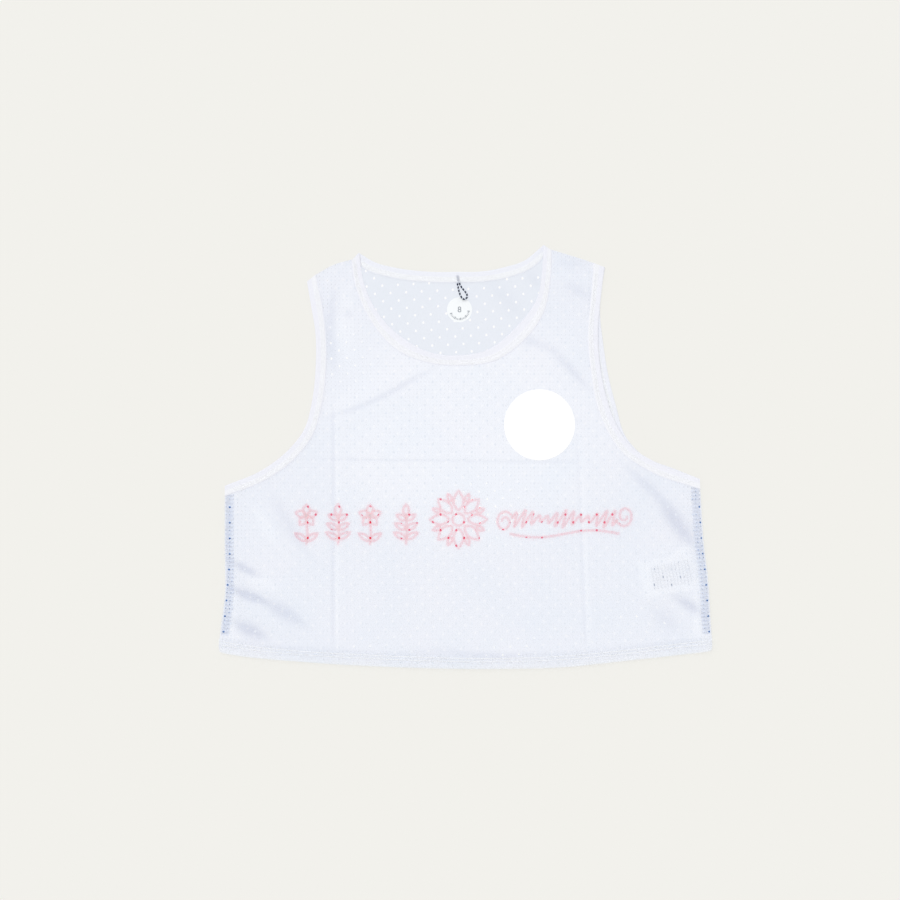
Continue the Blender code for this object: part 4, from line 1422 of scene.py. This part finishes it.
# %% The printed-line tree
def printed_lines():
    """A drawn line made a flat film of ink, on both faces of the cloth."""
    tree, sockets, given = geometry_tree("printed line", {"Width": "Float", "Film": "Float",
                                                          "Material": "Material"})
    line = add(tree, "GeometryNodeMeshToCurve", {"Mesh": given["Geometry"]}).outputs["Curve"]
    upright = add(tree, "GeometryNodeSetCurveNormal", {"Curve": line}, mode="Z_UP").outputs[0]
    # the section is two level lines, one on each face of the cloth
    half_width = maths(tree, "DIVIDE", given["Width"], 2.0)
    other_side = maths(tree, "MULTIPLY", half_width, -1.0)
    section = add(tree, "GeometryNodeJoinGeometry")
    for face in (0.5, -0.5):
        level = maths(tree, "MULTIPLY", given["Film"], face)
        start = add(tree, "ShaderNodeCombineXYZ", {"X": other_side, "Y": level}).outputs[0]
        end = add(tree, "ShaderNodeCombineXYZ", {"X": half_width, "Y": level}).outputs[0]
        span = add(tree, "GeometryNodeCurvePrimitiveLine", {"Start": start, "End": end}).outputs[0]
        tree.links.new(span, section.inputs[0])
    stroke = add(tree, "GeometryNodeCurveToMesh", {"Curve": upright,
                                                   "Profile Curve": section.outputs[0]}).outputs[0]
    real = add(tree, "GeometryNodeRealizeInstances", {"Geometry": stroke}).outputs[0]
    hand_out(tree, given, real)
    return tree, sockets


printing, printing_sockets = printed_lines()

# %% Motifs
def leaf(x, y, angle, length, width):
    """A closed leaf or petal outline from its base point, in millimetres."""
    steps = np.linspace(0, 1, 9)
    bulge = np.sin(np.pi * steps ** 0.85) * width / 2
    one = np.column_stack([steps * length, bulge])
    two = np.column_stack([steps * length, -bulge])[::-1][1:]
    shape = np.vstack([one, two])
    c, s = math.cos(angle), math.sin(angle)
    return shape @ np.array([[c, s], [-s, c]]) + (x, y)


def arc(x, y, radius, start, end, steps=20):
    """Part of a circle, from one angle to another in degrees."""
    angles = np.radians(np.linspace(start, end, steps))
    return np.column_stack([x + radius * np.cos(angles), y + radius * np.sin(angles)])


def flower_sprig(x, y):
    """A flower of five petals on a stem with two leaves, 28 by 42 mm."""
    lines = [leaf(x, y + 9, math.radians(90 + 72 * k), 11.5, 7.0) for k in range(5)]
    lines.append(np.array([(x, y + 2), (x + 1.0, y - 7), (x, y - 20)]))
    return lines + [leaf(x, y - 16, math.radians(34), 14, 5), leaf(x, y - 16, math.radians(146), 14, 5)]


def leafy_sprig(x, y):
    """A twig with three pairs of leaves and one at its tip, 28 by 42 mm."""
    lines = [np.array([(x, y - 20), (x + 1.0, y - 4), (x, y + 10)]), leaf(x, y + 9, math.radians(90), 12, 6)]
    for k, length in enumerate((14.0, 13.0, 11.0)):
        lines += [leaf(x, y - 14 + 9.5 * k, math.radians(90 + side * 62), length, 5) for side in (-1, 1)]
    return lines


def rosette(x, y):
    """Eight petals round a ring, with a bud between each two, 58 mm across."""
    lines = [leaf(x + 9 * math.cos(a), y + 9 * math.sin(a), a, 20, 10)
             for a in (math.radians(45 * k) for k in range(8))]
    lines += [arc(x, y, 6.0, 0, 360, 28)]
    return lines + [leaf(x + 19 * math.cos(a), y + 19 * math.sin(a), a, 9.0, 4.0)
                    for a in (math.radians(22.5 + 45 * k) for k in range(8))]


def curl(x, y, start, turn):
    """A line that winds inwards: 9 mm to 2.5 mm from its middle."""
    share = np.linspace(0, 1, 26)
    angle = np.radians(start + turn * share)
    radius = 9.0 - 6.5 * share
    return np.column_stack([x + radius * np.cos(angle), y + radius * np.sin(angle) * 1.25])


def running_wave(x0, x1, y):
    """A leaning wave between two curls, over one long stroke that bows."""
    share = np.linspace(0, 1, 150)
    swing = np.sin(share * 26 * math.pi) * (6.0 + 3.0 * np.sin(share * 5 * math.pi))
    x = x0 + 16 + (x1 - x0 - 32) * share
    lines = [np.column_stack([x + 0.45 * swing, y + swing])]
    lines += [curl(x0 + 9, y - 3, 20, 520), curl(x1 - 9, y + 3, 200, 520)]
    bow = np.linspace(0, 1, 30)
    return lines + [np.column_stack([x0 + 14 + (x1 - x0 - 28) * bow, y - 15 - 3.5 * np.sin(bow * 2 * math.pi)])]


def ink(name, colour, tint):
    """Rose plastisol ink, pressed thin into the knit: matt, and clear enough for light to warm it."""
    material, tree = new_material(name)
    place = add(tree, "ShaderNodeTexCoord").outputs["Object"]
    # grain as fine as the stitches under it
    grain = noise(tree, place, 1 / STITCH_PITCH)
    relief = bumped(tree, grain, 0.15, 0.05 * MM)
    skin = add(tree, "ShaderNodeBsdfPrincipled", {"Base Color": linear(colour), "Roughness": 0.6,
                                                  "Normal": relief})
    stained = add(tree, "ShaderNodeBsdfTransparent", {"Color": linear(tint)})
    mixed = mixed_shader(tree, 0.97, skin, stained)
    return surfaced(material, mixed)


PRINT_INK = ink("rose print ink", "ff95ac", "ffb6c3")
motifs = flower_sprig(-159, -68) + leafy_sprig(-127.5, -68) + flower_sprig(-95.5, -68) + leafy_sprig(-59.5, -68)
motifs += rosette(-7, -62.7) + running_wave(30, 168, -62)


HAIR = 0.0008 * MM      # between one printed line and the next, so that they never coincide


def on_back(line, layer):
    """A motif's line laid on the back, each one a hair above the last."""
    return raised(line * MM, lambda x, y: back_surface(x, y) + layer * HAIR)


print_wire = line_object("back print", [on_back(line, k) for k, line in enumerate(motifs)])
back_print = run_nodes(print_wire, printing, printing_sockets, "back_print", Width=2.5 * MM, Film=0.14 * MM,
                       Material=PRINT_INK)
declared(back_print, "disc film")
print("print:", len(motifs), "lines,", triangles_in(back_print), "triangles")

# %% [markdown]
# ## Floor, light and camera
# The vest lies on a pale floor with a card of white paper under it, cut just inside its outline,
# which keeps the eyelets bright. Both glow like a light table, so the thin cloth has no dark rim
# of shadow. A soft even sky and one wide soft lamp light it, and the camera looks straight down.
# The Standard view keeps near-white colours as they are.

# %% Floor and card
def paper(name, colour, glow_colour):
    """Matt paper on a light table: one even tone, lit mostly from below, with the faintest fibre."""
    material, tree = new_material(name)
    place = add(tree, "ShaderNodeTexCoord").outputs["Object"]
    fibre = noise(tree, place, 900.0, 1.0)
    relief = bumped(tree, fibre, 0.05, 0.05 * MM)
    skin = add(tree, "ShaderNodeBsdfPrincipled", {"Base Color": linear(colour), "Roughness": 0.95,
                                                  "Normal": relief})
    glow = add(tree, "ShaderNodeEmission", {"Color": linear(glow_colour), "Strength": 1.0})
    mixed = mixed_shader(tree, 0.75, skin, glow)
    return surfaced(material, mixed)


FLOOR_HALF, FLOOR_DROP, CARD_DROP = 3.0, 0.5 * MM, 0.2 * MM
CARD_SHARE = 0.996      # of the outline, so that the card never shows past it
floor = new_piece("floor", [(x, y, -FLOOR_DROP) for x, y in
                            ((-FLOOR_HALF, -FLOOR_HALF), (FLOOR_HALF, -FLOOR_HALF),
                             (FLOOR_HALF, FLOOR_HALF), (-FLOOR_HALF, FLOOR_HALF))], [(0, 1, 2, 3)],
                  paper("pale floor", "efeee9", "f2f1ec"))
card_paper, card_tree = new_material("bright white card")
surfaced(card_paper, add(card_tree, "ShaderNodeEmission", {"Color": linear("ffffff"), "Strength": 1.0}))
card_ring = panel_rims["back_panel"][:, :2] * CARD_SHARE
card = new_piece("card", [(x, y, -CARD_DROP) for x, y in card_ring], [tuple(range(len(card_ring)))], card_paper)

# %% Sky, lamp and camera
SKY_STRENGTH, LAMP_STRENGTH, LAMP_ANGLE = 0.83, 0.72, 0.8      # the angle, in radians, makes it soft
world = bpy.data.worlds.new("soft sky")
bpy.context.scene.world = world
world.use_nodes = True
sky = world.node_tree.nodes["Background"]
sky.inputs["Color"].default_value = linear("ffffff")
sky.inputs["Strength"].default_value = SKY_STRENGTH
lamp_data = bpy.data.lights.new("wide soft lamp", "SUN")
lamp_data.angle, lamp_data.energy = LAMP_ANGLE, LAMP_STRENGTH
lamp = in_scene("wide soft lamp", lamp_data)
lamp.rotation_euler = Vector((0.5, -0.7, -1.5)).to_track_quat("-Z", "Y").to_euler()

VIEW_CENTRE = Vector((-0.0155, 0.0068, 0.0))
VIEW_HEIGHT, VIEW_WIDTH = 3.0, 0.9
camera_data = bpy.data.cameras.new("camera")
camera_data.sensor_width = 36.0
camera_data.lens = camera_data.sensor_width * VIEW_HEIGHT / VIEW_WIDTH
camera = in_scene("camera", camera_data)
camera.location = VIEW_CENTRE + Vector((0, 0, VIEW_HEIGHT))
bpy.context.scene.camera = camera
bpy.context.scene.view_settings.view_transform = "Standard"
